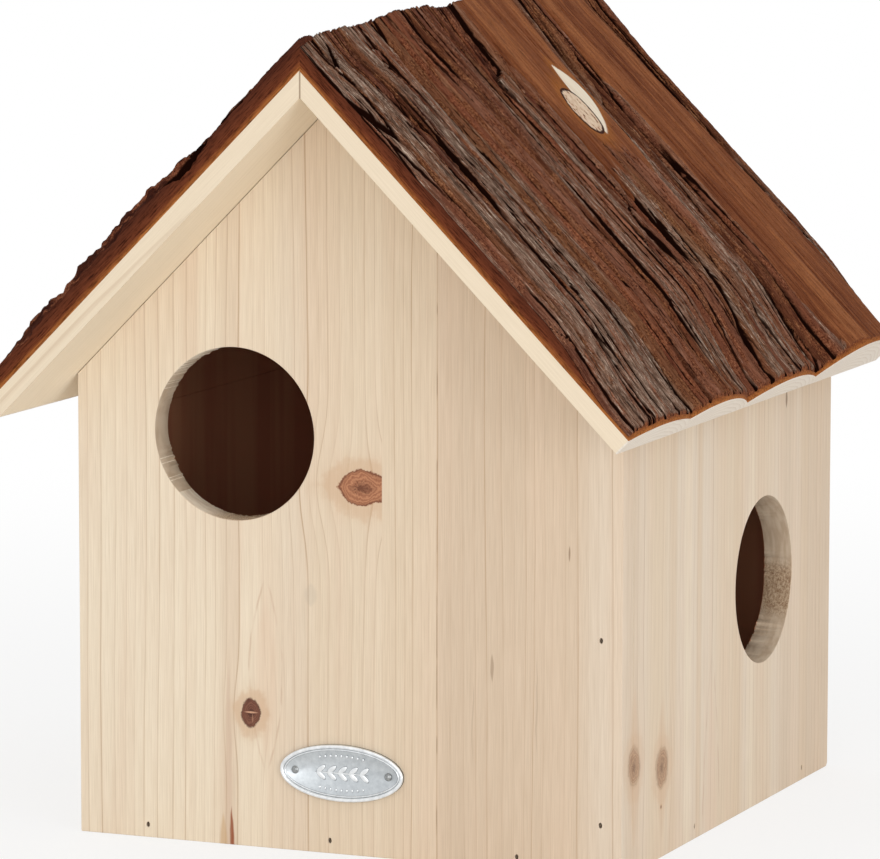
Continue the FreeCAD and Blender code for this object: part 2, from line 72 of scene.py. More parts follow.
# Sizes that the frame gives
front_low, front_high = cad("front_panel")
back_low, back_high = cad("back_panel")
wall_low, wall_high = cad("right_wall")
door_low, door_high = cad("cleaning_door")
rail_low, rail_high = cad("left_header_rail")
floor_low, floor_high = cad("floor_panel")
plate_low, plate_high = cad("oval_plate")
slab_low = cad("right_roof_slab_1")[0]
FRONT = front_low.y
INNER_FRONT = front_high.y
INNER_BACK = back_low.y
BACK = back_high.y
INNER_SIDE = wall_low.x
SIDE = wall_high.x
RIDGE = front_high.z
FLOOR_TOP = floor_high.z

# Sizes that repeat the construction's
PITCH = math.radians(45.0)
SLOPE = (RIDGE - slab_low.z) / math.sin(PITCH)
ROOF_FRONT = slab_low.y
ROOF_TOP = (cad_box[1][2] / MM - RIDGE) * math.cos(PITCH)    # the most that wood and bark measure together
BARK_BEVEL = math.radians(55.0)
ENTRANCE_RADIUS = 37.0
FRONT_ENTRANCE = (-51.5, 177.5)       # x, z
SIDE_ENTRANCE = (56.0, 100.0)         # y, z
NOTCH_RADIUS = 10.0
NOTCH_FROM_EDGE = 42.0

# Camera, as the photograph was taken
AZIMUTH = math.radians(22.738)
ELEVATION = math.radians(7.880)
ROLL = math.radians(0.062)
DISTANCE = 2521.8
TARGET = Vector((-12.22, 13.0, 164.70))
SENSOR_WIDTH = 36.0
PHOTO_WIDTH_PX = 880
FOCAL_PX = 5701.4


# Modelling by hand

def only(piece):
    """Leaves one object selected and active."""
    bpy.ops.object.select_all(action="DESELECT")
    piece.select_set(True)
    bpy.context.view_layer.objects.active = piece


def settle(piece, name, scale=(1, 1, 1)):
    """Names a new object, stretches it along its own axes and moves its place into its mesh."""
    piece.name = name
    piece.scale = scale
    only(piece)
    bpy.ops.object.transform_apply(location=True, rotation=True, scale=True)
    return piece


def block(name, low, high):
    low, high = Vector(low), Vector(high)
    bpy.ops.object.select_all(action="DESELECT")
    bpy.ops.mesh.primitive_cube_add(size=1.0, location=(low + high) / 2 * MM)
    return settle(bpy.context.object, name, (high - low) * MM)


def rod(name, start, end, radius, vertices=32, flat=1.0):
    """A round bar from start to end; flat squeezes its section across the bar's own X."""
    start, end = Vector(start), Vector(end)
    axis = end - start
    bpy.ops.object.select_all(action="DESELECT")
    bpy.ops.mesh.primitive_cylinder_add(
        vertices=vertices, radius=radius * MM, depth=axis.length * MM, location=(start + end) / 2 * MM,
        rotation=axis.to_track_quat("Z", "Y").to_euler()
    )
    return settle(bpy.context.object, name, (flat, 1, 1))


@contextmanager
def editing(piece):
    """Opens a piece for mesh operators, with all of it selected."""
    only(piece)
    bpy.ops.object.mode_set(mode="EDIT")
    bpy.ops.mesh.select_all(action="SELECT")
    yield
    bpy.ops.object.mode_set(mode="OBJECT")


def saw(piece, point, normal):
    """Cuts off what lies on the normal's side of a plane, and closes the cut."""
    with editing(piece):
        bpy.ops.mesh.bisect(plane_co=Vector(point) * MM, plane_no=normal, use_fill=True, clear_outer=True)


def drill(piece, cutters):
    """Takes the cutters' shapes out of a piece, and uses the cutters up."""
    for cutter in cutters:
        only(piece)
        modifier = piece.modifiers.new("drill", "BOOLEAN")
        modifier.object = cutter
        modifier.operation = "DIFFERENCE"
        modifier.solver = "EXACT"
        bpy.ops.object.modifier_apply(modifier=modifier.name)
        bpy.data.objects.remove(cutter)


BROAD_FACE = 60.0                     # square millimetres from which a face is shaded flat


def round_edges(piece, width, segments=2, angle=40.0):
    """Bevels the edges that are sharper than the angle; broad faces stay flat."""
    only(piece)
    modifier = piece.modifiers.new("rounding", "BEVEL")
    modifier.width = width * MM
    modifier.segments = segments
    modifier.limit_method = "ANGLE"
    modifier.angle_limit = math.radians(angle)
    bpy.ops.object.modifier_apply(modifier=modifier.name)
    bpy.ops.object.shade_smooth_by_angle(angle=math.radians(angle))
    for face in piece.data.polygons:
        if face.area > BROAD_FACE * MM ** 2:
            face.use_smooth = False


def cad_copy(node, name):
    """A merged copy of a node's mesh, to be worked on."""
    piece = bpy.data.objects.new(name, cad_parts[node].data.copy())
    bpy.context.scene.collection.objects.link(piece)
    with editing(piece):
        bpy.ops.mesh.remove_doubles(threshold=1e-6)
        bpy.ops.mesh.dissolve_limited(angle_limit=math.radians(0.5))
    if "custom_normal" in piece.data.attributes:
        piece.data.attributes.remove(piece.data.attributes["custom_normal"])
    return piece


def points_of(piece):
    points = np.empty(3 * len(piece.data.vertices))
    piece.data.vertices.foreach_get("co", points)
    return points.reshape(-1, 3) / MM


def put_points(piece, points):
    piece.data.vertices.foreach_set("co", (points * MM).ravel())
    piece.data.update()


def store(piece, name, values):
    """Keeps a value, or a vector, on each point of a piece for its material to read."""
    if values.ndim == 1:
        attribute = piece.data.attributes.new(name, "FLOAT", "POINT")
        attribute.data.foreach_set("value", values.astype(np.float32))
    else:
        attribute = piece.data.attributes.new(name, "FLOAT_VECTOR", "POINT")
        attribute.data.foreach_set("vector", values.astype(np.float32).ravel())


def lay_grain(piece, *looks):
    """Keeps on each face corner where it lies in its plank: across, into and along the grain. A look is an
    origin, the three axes, and the way that its faces point; None takes every face."""
    points = points_of(piece)
    corners = np.empty(len(piece.data.loops), int)
    piece.data.loops.foreach_get("vertex_index", corners)
    normals = np.empty(3 * len(piece.data.polygons))
    piece.data.polygons.foreach_get("normal", normals)
    sizes = np.empty(len(piece.data.polygons), int)
    piece.data.polygons.foreach_get("loop_total", sizes)
    normals = np.repeat(normals.reshape(-1, 3), sizes, axis=0)
    grain = np.zeros((len(corners), 3))
    for origin, across, depth, along, facing in looks:
        own = (points[corners] - np.array(origin)) @ np.array([across, depth, along]).T
        taken = np.ones(len(corners), bool) if facing is None else normals @ np.array(facing) > 0.7
        grain[taken] = own[taken]
    attribute = piece.data.attributes.new("grain", "FLOAT_VECTOR", "CORNER")
    attribute.data.foreach_set("vector", grain.astype(np.float32).ravel())


def dress(piece, material, slot, *nodes, body="box"):
    """Gives a finished piece its material, and the place of the nodes that it stands for."""
    piece.data.materials.clear()
    piece.data.materials.append(material)
    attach(piece, body)
    if nodes:
        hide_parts(*nodes)
    return piece


def face_with(piece, material, way):
    """Gives the faces that point one way another material."""
    piece.data.materials.append(material)
    for face in piece.data.polygons:
        face.material_index = 1 if face.normal.dot(way) > 0.7 else 0


# Noise for shapes

class SoftNoise:
    """Smooth noise from 0 to 1 over a plane, one unit from bump to bump."""

    def __init__(self, seed, size=256):
        self.table = np.random.default_rng(seed).random((size, size))

    def __call__(self, x, y):
        size = len(self.table)
        i = np.floor(x).astype(int)
        j = np.floor(y).astype(int)
        u = x - i
        v = y - j
        u = u * u * (3 - 2 * u)
        v = v * v * (3 - 2 * v)
        near = self.table[i % size, j % size] * (1 - u) + self.table[(i + 1) % size, j % size] * u
        far = self.table[i % size, (j + 1) % size] * (1 - u) + self.table[(i + 1) % size, (j + 1) % size] * u
        return near * (1 - v) + far * v


def smooth_step(value, low, high):
    share = np.clip((value - low) / (high - low), 0, 1)
    return share * share * (3 - 2 * share)


def plates(x, y, seed, size=128):
    """Cracked plates, one to a unit square: the distance from the crack, a random value of the plate's
    own, and how far across the plate a place lies. Plates that meet end to end have a narrow crack."""
    shift_x, shift_y, own = np.random.default_rng(seed).random((3, size, size))
    column = np.floor(x).astype(int)
    row = np.floor(y).astype(int)
    nearest = np.full(x.shape, 9.0)
    second = np.full(x.shape, 9.0)
    value = np.zeros(x.shape)
    lean = np.zeros(x.shape)
    next_lean = np.zeros(x.shape)
    for i in (column - 1, column, column + 1):
        for j in (row - 1, row, row + 1):
            across = x - i - shift_x[i % size, j % size]
            along = y - j - shift_y[i % size, j % size]
            distance = np.hypot(across, along)
            closer = distance < nearest
            next_lean = np.where(closer, lean, np.where(distance < second, across, next_lean))
            second = np.where(closer, nearest, np.minimum(second, distance))
            value = np.where(closer, own[i % size, j % size], value)
            lean = np.where(closer, across, lean)
            nearest = np.where(closer, distance, nearest)
    sideways = np.clip(np.abs(next_lean - lean) / 0.6, 0.1, 1.0)
    return (second - nearest) / sideways ** 1.5, value, lean


# Node trees

def srgb(red, green, blue):
    """A colour as the eye names it, 0 to 255, as the linear colour that shaders take."""
    linear = [(c / 255 / 12.92 if c < 11 else ((c / 255 + 0.055) / 1.055) ** 2.4) for c in (red, green, blue)]
    return (*linear, 1.0)


def reckon(operation, swapped=False):
    """What an operator between a Value and another Value or a number does: it adds a node."""
    def method(self, other):
        a, b = (other, self) if swapped else (self, other)
        return self.tree.math(operation, a, b)
    return method


class Value:
    """What a node gives, to be reckoned with like a number."""

    def __init__(self, tree, socket):
        self.tree = tree
        self.socket = socket

    def __abs__(self):
        return self.tree.math("ABSOLUTE", self)

    __add__ = reckon("ADD")
    __radd__ = reckon("ADD", swapped=True)
    __sub__ = reckon("SUBTRACT")
    __rsub__ = reckon("SUBTRACT", swapped=True)
    __mul__ = reckon("MULTIPLY")
    __rmul__ = reckon("MULTIPLY", swapped=True)
    __truediv__ = reckon("DIVIDE")
    __rtruediv__ = reckon("DIVIDE", swapped=True)
    __pow__ = reckon("POWER")
    __lt__ = reckon("LESS_THAN")
    __gt__ = reckon("GREATER_THAN")


class Tree:
    """Adds nodes to a material, a group or the world. An input is a number, a colour, a vector or a Value."""

    def __init__(self, tree):
        self.tree = tree

    def feed(self, socket, value):
        if isinstance(value, Value):
            self.tree.links.new(value.socket, socket)
        else:
            socket.default_value = value

    def node(self, kind, inputs, **settings):
        node = self.tree.nodes.new("ShaderNode" + kind)
        for name, value in settings.items():
            setattr(node, name, value)
        for name, value in inputs.items():
            self.feed(node.inputs[name], value)
        return node

    def add(self, kind, inputs, out=0, **settings):
        return Value(self, self.node(kind, inputs, **settings).outputs[out])

    def math(self, operation, a, b=0.0):
        return self.add("Math", {0: a, 1: b}, operation=operation)

    def smooth(self, value, low, high):
        inputs = {"Value": value, "From Min": low, "From Max": high}
        return self.add("MapRange", inputs, interpolation_type="SMOOTHSTEP")

    def mix(self, share, a, b, mode="MIX"):
        return self.add("Mix", {0: share, 6: a, 7: b}, out=2, data_type="RGBA", blend_type=mode)

    def ramp(self, share, *stops):
        """Colours along a share; a stop is its place, red, green and blue."""
        node = self.node("ValToRGB", {"Fac": share})
        elements = node.color_ramp.elements
        while len(elements) < len(stops):
            elements.new(0.5)
        for element, (place, *colour) in zip(elements, stops):
            element.position = place
            element.color = srgb(*colour)
        return Value(self, node.outputs[0])

    def place(self):
        """Where a point lies in the part's frame, in metres."""
        return self.add("TexCoord", {}, out=3)

    def split(self, vector):
        return [Value(self, part) for part in self.node("SeparateXYZ", {0: vector}).outputs]

    def stretch(self, vector, across, depth, along):
        """The vector measured in lengths of its own each way, so that a noise of scale 1 fits them."""
        lengths = (1 / across, 1 / depth, 1 / along)
        return self.add("VectorMath", {0: vector, 1: lengths}, operation="MULTIPLY")

    def noise(self, vector, detail=2.0, roughness=0.5):
        inputs = {"Vector": vector, "Scale": 1.0, "Detail": detail, "Roughness": roughness}
        return self.add("TexNoise", inputs)

    def whim(self, value):
        """A random number for each whole number."""
        return self.add("TexWhiteNoise", {"W": value}, noise_dimensions="1D")

    def attribute(self, name, out=0):
        return self.add("Attribute", {}, out=out, attribute_name=name)

    def seen(self):
        """1 for what the camera sees, straight or in a mirror, and 0 for what the light meets."""
        rays = self.node("LightPath", {}).outputs
        kinds = ("Is Camera Ray", "Is Glossy Ray", "Is Transmission Ray")
        straight, mirrored, through = [Value(self, rays[kind]) for kind in kinds]
        return self.math("MAXIMUM", straight, self.math("MAXIMUM", mirrored, through))

    def use(self, group, inputs):
        outputs = self.node("Group", inputs, node_tree=group).outputs
        return {socket.name: Value(self, socket) for socket in outputs}


def floats(*names):
    return {name: "Float" for name in names}


def new_group(name, inputs, outputs):
    """A group with its sockets' names and kinds, the builder of its nodes, what it is given and its result."""
    tree = bpy.data.node_groups.new(name, "ShaderNodeTree")
    for socket, kind in inputs.items():
        tree.interface.new_socket(socket, in_out="INPUT", socket_type="NodeSocket" + kind)
    for socket, kind in outputs.items():
        tree.interface.new_socket(socket, in_out="OUTPUT", socket_type="NodeSocket" + kind)
    start = tree.nodes.new("NodeGroupInput")
    end = tree.nodes.new("NodeGroupOutput")
    builder = Tree(tree)
    given = {socket.name: Value(builder, socket) for socket in start.outputs}
    return tree, builder, given, end.inputs


def new_material(name):
    material = bpy.data.materials.new(name)
    material.use_nodes = True
    shader = material.node_tree.nodes["Principled BSDF"]
    return material, Tree(material.node_tree), shader.inputs


def bump(tree, height, strength, distance):
    return tree.add("Bump", {"Height": height, "Strength": strength, "Distance": distance * MM})


# Wood grain

def make_fir_grain():
    """Growth rings round a pith off to one side of the board, with the fibre and the blush of the wood."""
    inputs = {"Grain": "Vector", **floats("Stave", "Ring Width", "Push")}
    group, t, given, result = new_group("fir_grain", inputs, floats("Line", "Band", "Fibre", "Blush"))
    grain = given["Grain"]
    apart = t.add("CombineXYZ", {"Z": given["Stave"] * 517.0})
    own = t.add("VectorMath", {0: grain, 1: apart}, operation="ADD")
    parts = t.split(grain)
    pith_across = t.whim(given["Stave"]) * 90.0 + 145.0
    pith_depth = t.whim(given["Stave"] + 40.0) * 40.0 + 25.0
    across = parts[0] + given["Push"] + pith_across
    depth = parts[1] + pith_depth
    slow = t.noise(t.stretch(own, 60, 60, 330), detail=1.0)
    quick = t.noise(t.stretch(own, 9, 9, 90), detail=2.0)
    ring = t.math("SQRT", across * across + depth * depth)
    ring = slow * 12.0 + ring
    ring = quick * 0.9 + ring
    uneven = t.noise(t.add("CombineXYZ", {"X": ring / 17.0, "Y": given["Stave"]}), detail=1.0)
    phase = uneven * 2.0 + ring / given["Ring Width"]
    place = t.math("FRACT", phase)
    fall = 1.0 - t.smooth(place, 0.96, 1.0)
    thin = t.smooth(place, 0.85, 0.95) * fall
    strength = t.whim(t.math("FLOOR", phase)) ** 1.2
    fade = t.smooth(t.noise(t.stretch(own, 10, 10, 120), detail=2.0), 0.3, 0.62)
    strength = strength * (fade * 0.6 + 0.4)
    t.feed(result["Line"], thin * strength)
    t.feed(result["Band"], place ** 2.0 * fall)
    t.feed(result["Fibre"], t.noise(t.stretch(own, 0.5, 0.5, 26), detail=3.0, roughness=0.6))
    t.feed(result["Blush"], t.noise(t.stretch(own, 15, 30, 240), detail=3.0))
    return group


def make_knot():
    """A knot in the board's face, oval or pointed: its inside, its edge, its halo, its rings, its heart, its
    cracks, and how far it pushes the grain aside."""
    sizes = floats("Across", "Along", "Half Left", "Half Right", "Half Length", "Point", "Blur")
    outputs = floats("Inside", "Edge", "Halo", "Rings", "Heart", "Crack", "Push")
    group, t, given, result = new_group("knot", {"Grain": "Vector", **sizes}, outputs)
    parts = t.split(given["Grain"])
    across = parts[0] - given["Across"]
    wider = given["Half Right"] - given["Half Left"]
    half = (across > 0.0) * wider + given["Half Left"]
    u = across / half
    v = (parts[2] - given["Along"]) / given["Half Length"]
    uu = u * u
    vv = v * v
    oval = t.math("SQRT", uu + vv)
    pointed = abs(v) + t.math("SQRT", uu * 4.0 + vv)
    sharper = pointed * 0.5 - oval
    away = given["Point"] * sharper + oval
    wobble = t.noise(t.stretch(given["Grain"], 6, 6, 7), detail=2.0)
    ragged = t.noise(t.stretch(given["Grain"], 0.8, 0.8, 1.0), detail=3.0)
    stain = t.noise(t.stretch(given["Grain"], 5, 5, 7), detail=4.0, roughness=0.6)
    rough = wobble * 0.5 + away - 0.25
    frayed = ragged * 0.2 + rough - 0.1
    outer = given["Blur"] * 0.5 + 1.0
    inside = t.smooth(frayed, outer, 1.0 - given["Blur"])
    t.feed(result["Inside"], inside)
    t.feed(result["Edge"], inside * t.smooth(frayed, 0.76, 0.98))
    stained = (stain - 0.5) * 1.5 + away
    wash = t.smooth(stained, 2.6, 1.0) * 0.4
    t.feed(result["Halo"], t.smooth(stained, 1.9, 1.4) * 0.6 + wash)
    turns = frayed * 34.0 + wobble * 14.0
    t.feed(result["Rings"], t.math("SINE", turns) * 0.5 + 0.5)
    t.feed(result["Heart"], t.smooth(frayed, 0.45, 0.05))
    angle = t.math("ARCTAN2", v, u)
    spokes = t.noise(t.add("CombineXYZ", {"X": angle * 1.4, "Y": away}), detail=3.0)
    spoke = t.smooth(abs(spokes - 0.5), 0.035, 0.0)
    t.feed(result["Crack"], spoke * t.smooth(away, 0.6, 0.2))
    wide = u / 2.0
    tall = v / 3.0
    spread = wide * wide + tall * tall
    near = t.math("EXPONENT", 0.0 - spread)
    t.feed(result["Push"], across * near * -0.6)
    return group


def make_lens():
    """A pointed oval along the grain: its inside, soft at the edge, and its thin outline."""
    inputs = {"Grain": "Vector", **floats("Across", "Along", "Half Width", "Half Length")}
    group, t, given, result = new_group("lens", inputs, floats("Fill", "Outline"))
    parts = t.split(given["Grain"])
    wave = t.noise(t.stretch(given["Grain"], 30, 30, 22), detail=2.0)
    across = wave * 3.0 + parts[0] - given["Across"]
    u = abs(across - 1.5) / given["Half Width"]
    v = (parts[2] - given["Along"]) / given["Half Length"]
    gap = 1.0 - v * v - u
    within = t.smooth(abs(v), 1.0, 0.8)
    t.feed(result["Fill"], t.smooth(gap, 0.0, 0.6) * within)
    patchy = t.smooth(t.noise(t.stretch(given["Grain"], 6, 6, 14), detail=2.0), 0.35, 0.65)
    near = t.smooth(abs(gap), 0.1, 0.01) * patchy
    t.feed(result["Outline"], near * within)
    return group


def make_chamber():
    """1 on what faces the nest chamber, or the gap over the door, and 0 on what is outside."""
    group, t, nothing, result = new_group("chamber", {}, floats("Inside"))
    place = t.place()
    slack = 0.3
    parts = t.split(place)
    walls = abs(parts[0]) < (INNER_SIDE + slack) * MM
    front = parts[1] > (INNER_FRONT - slack) * MM
    back = parts[1] < (INNER_BACK + slack) * MM
    floor = parts[2] > (FLOOR_TOP - slack) * MM
    inside = walls * floor * front * back
    off_gap = abs(parts[2] - (door_high.z + rail_low.z) / 2 * MM)
    in_gap = off_gap < ((rail_low.z - door_high.z) / 2 + slack) * MM
    left = parts[0] < (slack - INNER_SIDE) * MM
    gap = in_gap * left * front * back
    t.feed(result["Inside"], t.math("MAXIMUM", inside, gap))
    return group


FIR_GRAIN = make_fir_grain()
KNOT = make_knot()
LENS = make_lens()
CHAMBER = make_chamber()

# Colours of the wood
CREAM = srgb(240, 225, 202)
STRAW = srgb(228, 209, 184)
ROSE = srgb(218, 197, 173)
CHALK = srgb(230, 215, 196)
BLUSH = srgb(229, 206, 182)
LATEWOOD = srgb(178, 141, 106)
CHAMBER_TAN = srgb(188, 130, 96)
GLUE_BROWN = srgb(122, 92, 66)
RESIN = srgb(150, 84, 54)
OCHRE = srgb(196, 158, 112)
RED_KNOT = (srgb(186, 130, 96), srgb(138, 84, 60), srgb(92, 50, 36), 0.55)
DARK_KNOT = (srgb(128, 84, 66), srgb(88, 53, 43), srgb(66, 38, 31), 0.6)
TAN_KNOT = (srgb(182, 148, 120), srgb(120, 88, 68), srgb(88, 60, 46), 0.3)
KNOT_HALO = srgb(204, 168, 134)
KNOT_CRACK = srgb(72, 38, 28)
PALE_CRACK = srgb(206, 158, 128)
SMUDGE = srgb(168, 160, 148)
HONEY = srgb(221, 196, 166)
SPLIT_LENGTH = 21.0                   # of the places where a glued joint gapes


def board_material(
    name, staves, joints=(), knots=(), washes=(), flames=(), streaks=(), bore_tint_and_shade=(1, 1, 1, 1),
    ring_width=5.0, seed=0.0
):
    """Planed fir, glued up from staves that meet at the joints. A stave is a colour with the strength of its
    lines, a joint its place across with how plainly it shows. A knot is across, along, half widths to the
    left and right, half length, how pointed, blur, the place across where a joint cuts it, and its colours
    with the strength of its halo. A wash is a colour, across, half width and strength. A flame is across,
    along, half width, half length and strength; a streak is the same after a colour. The bore tint greys a
    hole's wall: partly the cut wood's own colour, partly painted shade inside the hole."""
    material, t, shader = new_material(name)
    grain = t.attribute("grain", out=1)
    parts = t.split(grain)

    def lens(across, along, width, length):
        place = {"Across": across, "Along": along, "Half Width": width, "Half Length": length}
        return t.use(LENS, {"Grain": grain, **place})

    stave = seed
    colour, line = staves[0]
    glue = 0.0
    split = 0.0
    for (joint, plain), (tint, strength) in zip(joints, staves[1:]):
        beyond = parts[0] > joint
        stave = stave + beyond
        colour = t.mix(beyond, colour, tint)
        line = line + beyond * (strength - line)
        seam = t.smooth(abs(parts[0] - joint), 0.35, 0.1)
        seam = seam * plain
        length = t.noise(t.add("CombineXYZ", {"X": parts[2] / SPLIT_LENGTH, "Y": joint}))
        glue = t.math("MAXIMUM", glue, seam)
        split = t.math("MAXIMUM", split, seam * t.smooth(length, 0.5, 0.6))
    for tint, across, width, strength in washes:
        near = t.smooth(abs(parts[0] - across), width, 0.2 * width)
        colour = t.mix(near * strength, colour, tint)
    found = []
    push = 0.0
    for across, along, left, right, length, point, blur, limit, colours in knots:
        knot = t.use(KNOT, {
            "Grain": grain, "Across": across, "Along": along, "Half Left": left, "Half Right": right,
            "Half Length": length, "Point": point, "Blur": blur
        })
        within = parts[0] < limit
        found.append((knot, within, colours))
        push = push + knot["Push"] * within
    wood = t.use(FIR_GRAIN, {"Grain": grain, "Stave": stave, "Ring Width": ring_width, "Push": push})
    colour = t.mix(t.smooth(wood["Blush"], 0.4, 0.7) * 0.55, colour, BLUSH)
    colour = t.mix(wood["Band"] * 0.1, colour, LATEWOOD)
    colour = t.mix(wood["Line"] * line, colour, LATEWOOD)
    fibre = t.ramp(wood["Fibre"], (0.3, 239, 236, 232), (0.7, 255, 255, 255))
    colour = t.mix(1.0, colour, fibre, mode="MULTIPLY")
    colour = t.mix(glue * 0.5, colour, LATEWOOD)
    colour = t.mix(split * 0.6, colour, GLUE_BROWN)
    for across, along, width, length, strength in flames:
        flame = lens(across, along, width, length)
        colour = t.mix(flame["Fill"] * 0.8 * strength, colour, srgb(222, 192, 166))
        colour = t.mix(flame["Outline"] * strength, colour, srgb(190, 150, 122))
    for knot, within, (light, dark, rim, spread) in found:
        shade = knot["Rings"] * (wood["Fibre"] * 1.2 + 0.1)
        heart = t.mix(shade, light, dark)
        heart = t.mix(knot["Heart"] * 0.75, heart, rim)
        heart = t.mix(knot["Edge"] * 0.7, heart, rim)
        heart = t.mix(knot["Crack"] * 0.7, heart, KNOT_CRACK)
        halo = knot["Halo"] * within * spread
        colour = t.mix(halo, colour, KNOT_HALO)
        colour = t.mix(knot["Inside"] * within, colour, heart)
    for tint, across, along, width, length, strength in streaks:
        mark = lens(across, along, width, length)["Fill"] * (wood["Fibre"] * 0.8 + 0.5)
        colour = t.mix(mark * strength, colour, tint)
    inside = t.use(CHAMBER, {})["Inside"]
    reveal = t.attribute("reveal", out=2) * (1.0 - inside)
    tear = t.attribute("tear", out=2)
    fuzz = t.noise(t.stretch(grain, 0.6, 0.9, 1.6), detail=4.0, roughness=0.75)
    scrape = t.noise(t.stretch(grain, 7, 2.5, 12), detail=3.0)
    # The hole's wall takes fresh-cut colours made lighter to offset the shade inside the hole (painted light),
    # with darker torn fibres where the saw broke out
    bored_with_painted_light = t.ramp(scrape, (0.36, 224, 206, 184), (0.5, 236, 221, 200), (0.64, 244, 231, 212))
    torn = t.ramp(fuzz, (0.4, 164, 134, 106), (0.5, 206, 182, 154), (0.6, 232, 214, 190))
    colour = t.mix(reveal * 0.96, colour, t.mix(tear, bored_with_painted_light, torn))
    # The bore tint greys the wall: partly its own colour, partly painted shade
    colour = t.mix(reveal, colour, bore_tint_and_shade, mode="MULTIPLY")
    chamber = t.mix(t.smooth(wood["Blush"], 0.38, 0.62), CHAMBER_TAN, srgb(177, 113, 84))
    colour = t.mix(inside, colour, chamber)
    t.feed(shader["Base Color"], colour)
    t.feed(shader["Roughness"], wood["Fibre"] * 0.2 + 0.5)
    shader["Specular IOR Level"].default_value = 0.2
    height = wood["Line"] * -0.5 + wood["Fibre"]
    worked = reveal * (tear * 7.0 + 0.8)
    height = height * (reveal * -0.8 + 1.0)
    height = worked * fuzz + height
    t.feed(shader["Normal"], bump(t, height, 0.25, 0.12))
    return material


# Boards of the box

def torn_rim(piece, middle, plane, axis, seed, length, torn):
    """Pulls the edge where the hole saw came out into small splinters, and marks the hole's wall for the
    material. The hole runs along the axis; torn is the angle where its wall is torn, and half of the angle
    that the tear spans."""
    points = points_of(piece)
    flat = [i for i in range(3) if i != axis]
    offset = points[:, flat] - np.array(middle)
    reach = np.hypot(offset[:, 0], offset[:, 1])
    rim = (np.abs(points[:, axis] - plane) < 0.6) & (np.abs(reach - ENTRANCE_RADIUS) < 0.6)
    noise = SoftNoise(seed)
    patchy = smooth_step(noise(offset[:, 0] / 15.0, offset[:, 1] / 15.0), 0.2, 0.8)
    frayed = noise(offset[:, 0] / 0.5, offset[:, 1] / 0.5) ** 2
    frayed = frayed + 0.25 * noise(offset[:, 0] / 1.4, offset[:, 1] / 1.4) ** 3
    share = np.where(rim, 1 - length * patchy * frayed / np.maximum(reach, 1.0), 1.0)
    points[:, flat] = np.array(middle) + offset * share[:, None]
    put_points(piece, points)
    turn = np.degrees(np.arctan2(offset[:, 1], offset[:, 0]))
    away = np.abs((turn - torn[0] + 180.0) % 360.0 - 180.0)
    store(piece, "reveal", (reach < ENTRANCE_RADIUS + 0.05).astype(float))
    store(piece, "tear", 1 - smooth_step(away, torn[1] - 8.0, torn[1] + 8.0))


def gable_board(name, y0, y1, cutters, cuts=()):
    """A front or back board, sawn to the roof's pitch on both sides."""
    piece = block(name, (-SIDE, y0, 0), (SIDE, y1, RIDGE))
    for side in (-1, 1):
        saw(piece, (0, y0, RIDGE - ROOF_GAP), (side * math.sin(PITCH), 0, math.cos(PITCH)))
    for point, normal in cuts:
        saw(piece, point, normal)
    drill(piece, cutters)
    round_edges(piece, EASED_EDGE)
    return piece


def side_board(name, low, high, cutters, eased):
    """A board of a side wall, its top sawn to the roof's pitch."""
    piece = block(name, low, high)
    side = 1 if low[0] > 0 else -1
    saw(piece, (0, 0, RIDGE - ROOF_GAP), (side * math.sin(PITCH), 0, math.cos(PITCH)))
    drill(piece, cutters)
    round_edges(piece, eased)
    return piece


def entrance(middle, axis, start, end):
    """A cutter for a hole along an axis, through a board from start to end."""
    ends = []
    for place in (start - CUTTER_OVER, end + CUTTER_OVER):
        point = list(middle)
        point.insert(axis, place)
        ends.append(point)
    return rod("entrance_cutter", ends[0], ends[1], ENTRANCE_RADIUS, vertices=512)


ROOF_GAP = 0.3                        # daylight between the boards and the slabs, seen as a dark line
EASED_EDGE = 0.35
HALF_NAIL = 1.3                       # half of a nail head's box in the frame
NAIL_DEEP = 30.0
NAIL_SUNK = 0.35
NAIL_HALF_WIDTH = 0.5
NAIL_HALF_HEIGHT = 0.95
NAIL_ROOM = 0.25                      # round a head, in its hole
NAIL_TAPER = 0.55                     # what the point lacks of the head's size
CUTTER_OVER = 5.0                     # a cutter reaches this far out of the board
RAIL_EDGE = 0.08
DOOR_EDGE = 0.12
FLOOR_EDGE = 0.4
RAIL_DROP = 1.1                       # the rail reaches down over most of the gap above the door
CORNER = 2.5                          # rounding of the back panel's lower edge


def nail_rows():
    """Where each group of nails enters: the nodes' names, and a list of points with the way in."""
    rows = {}
    wall_nails_low, wall_nails_high = cad("front_wall_nails")
    heights = (wall_nails_low.z + HALF_NAIL, wall_nails_high.z - HALF_NAIL)
    for name, y, way in (("front", FRONT, 1), ("back", BACK, -1)):
        x = wall_nails_high.x - HALF_NAIL
        rows[name + "_wall_nails"] = [((x, y, z), (0, way, 0)) for z in heights]
        low, high = cad(name + "_floor_nails")
        places = (low.x + HALF_NAIL, (low.x + high.x) / 2, high.x - HALF_NAIL)
        rows[name + "_floor_nails"] = [((x, y, (low.z + high.z) / 2), (0, way, 0)) for x in places]
    rail_middle = ((rail_low.x + rail_high.x) / 2, BACK, (rail_low.z + wall_top()) / 2)
    rows["back_wall_nails"].append((rail_middle, (0, -1, 0)))
    low, high = cad("side_floor_nails")
    places = (low.y + HALF_NAIL, high.y - HALF_NAIL)
    rows["side_floor_nails"] = [((SIDE, y, (low.z + high.z) / 2), (-1, 0, 0)) for y in places]
    return rows


def wall_top():
    """Height of a side wall's outer face."""
    return RIDGE - SIDE * math.tan(PITCH)


NAILS = nail_rows()


def nail_cutters(*groups):
    cutters = []
    for group in groups:
        for place, way in NAILS[group]:
            place, way = Vector(place), Vector(way)
            wide = NAIL_HALF_HEIGHT + NAIL_ROOM
            flat = (NAIL_HALF_WIDTH + NAIL_ROOM) / wide
            cutters.append(rod("nail_cutter", place - way, place + 2 * way, wide, vertices=16, flat=flat))
    return cutters


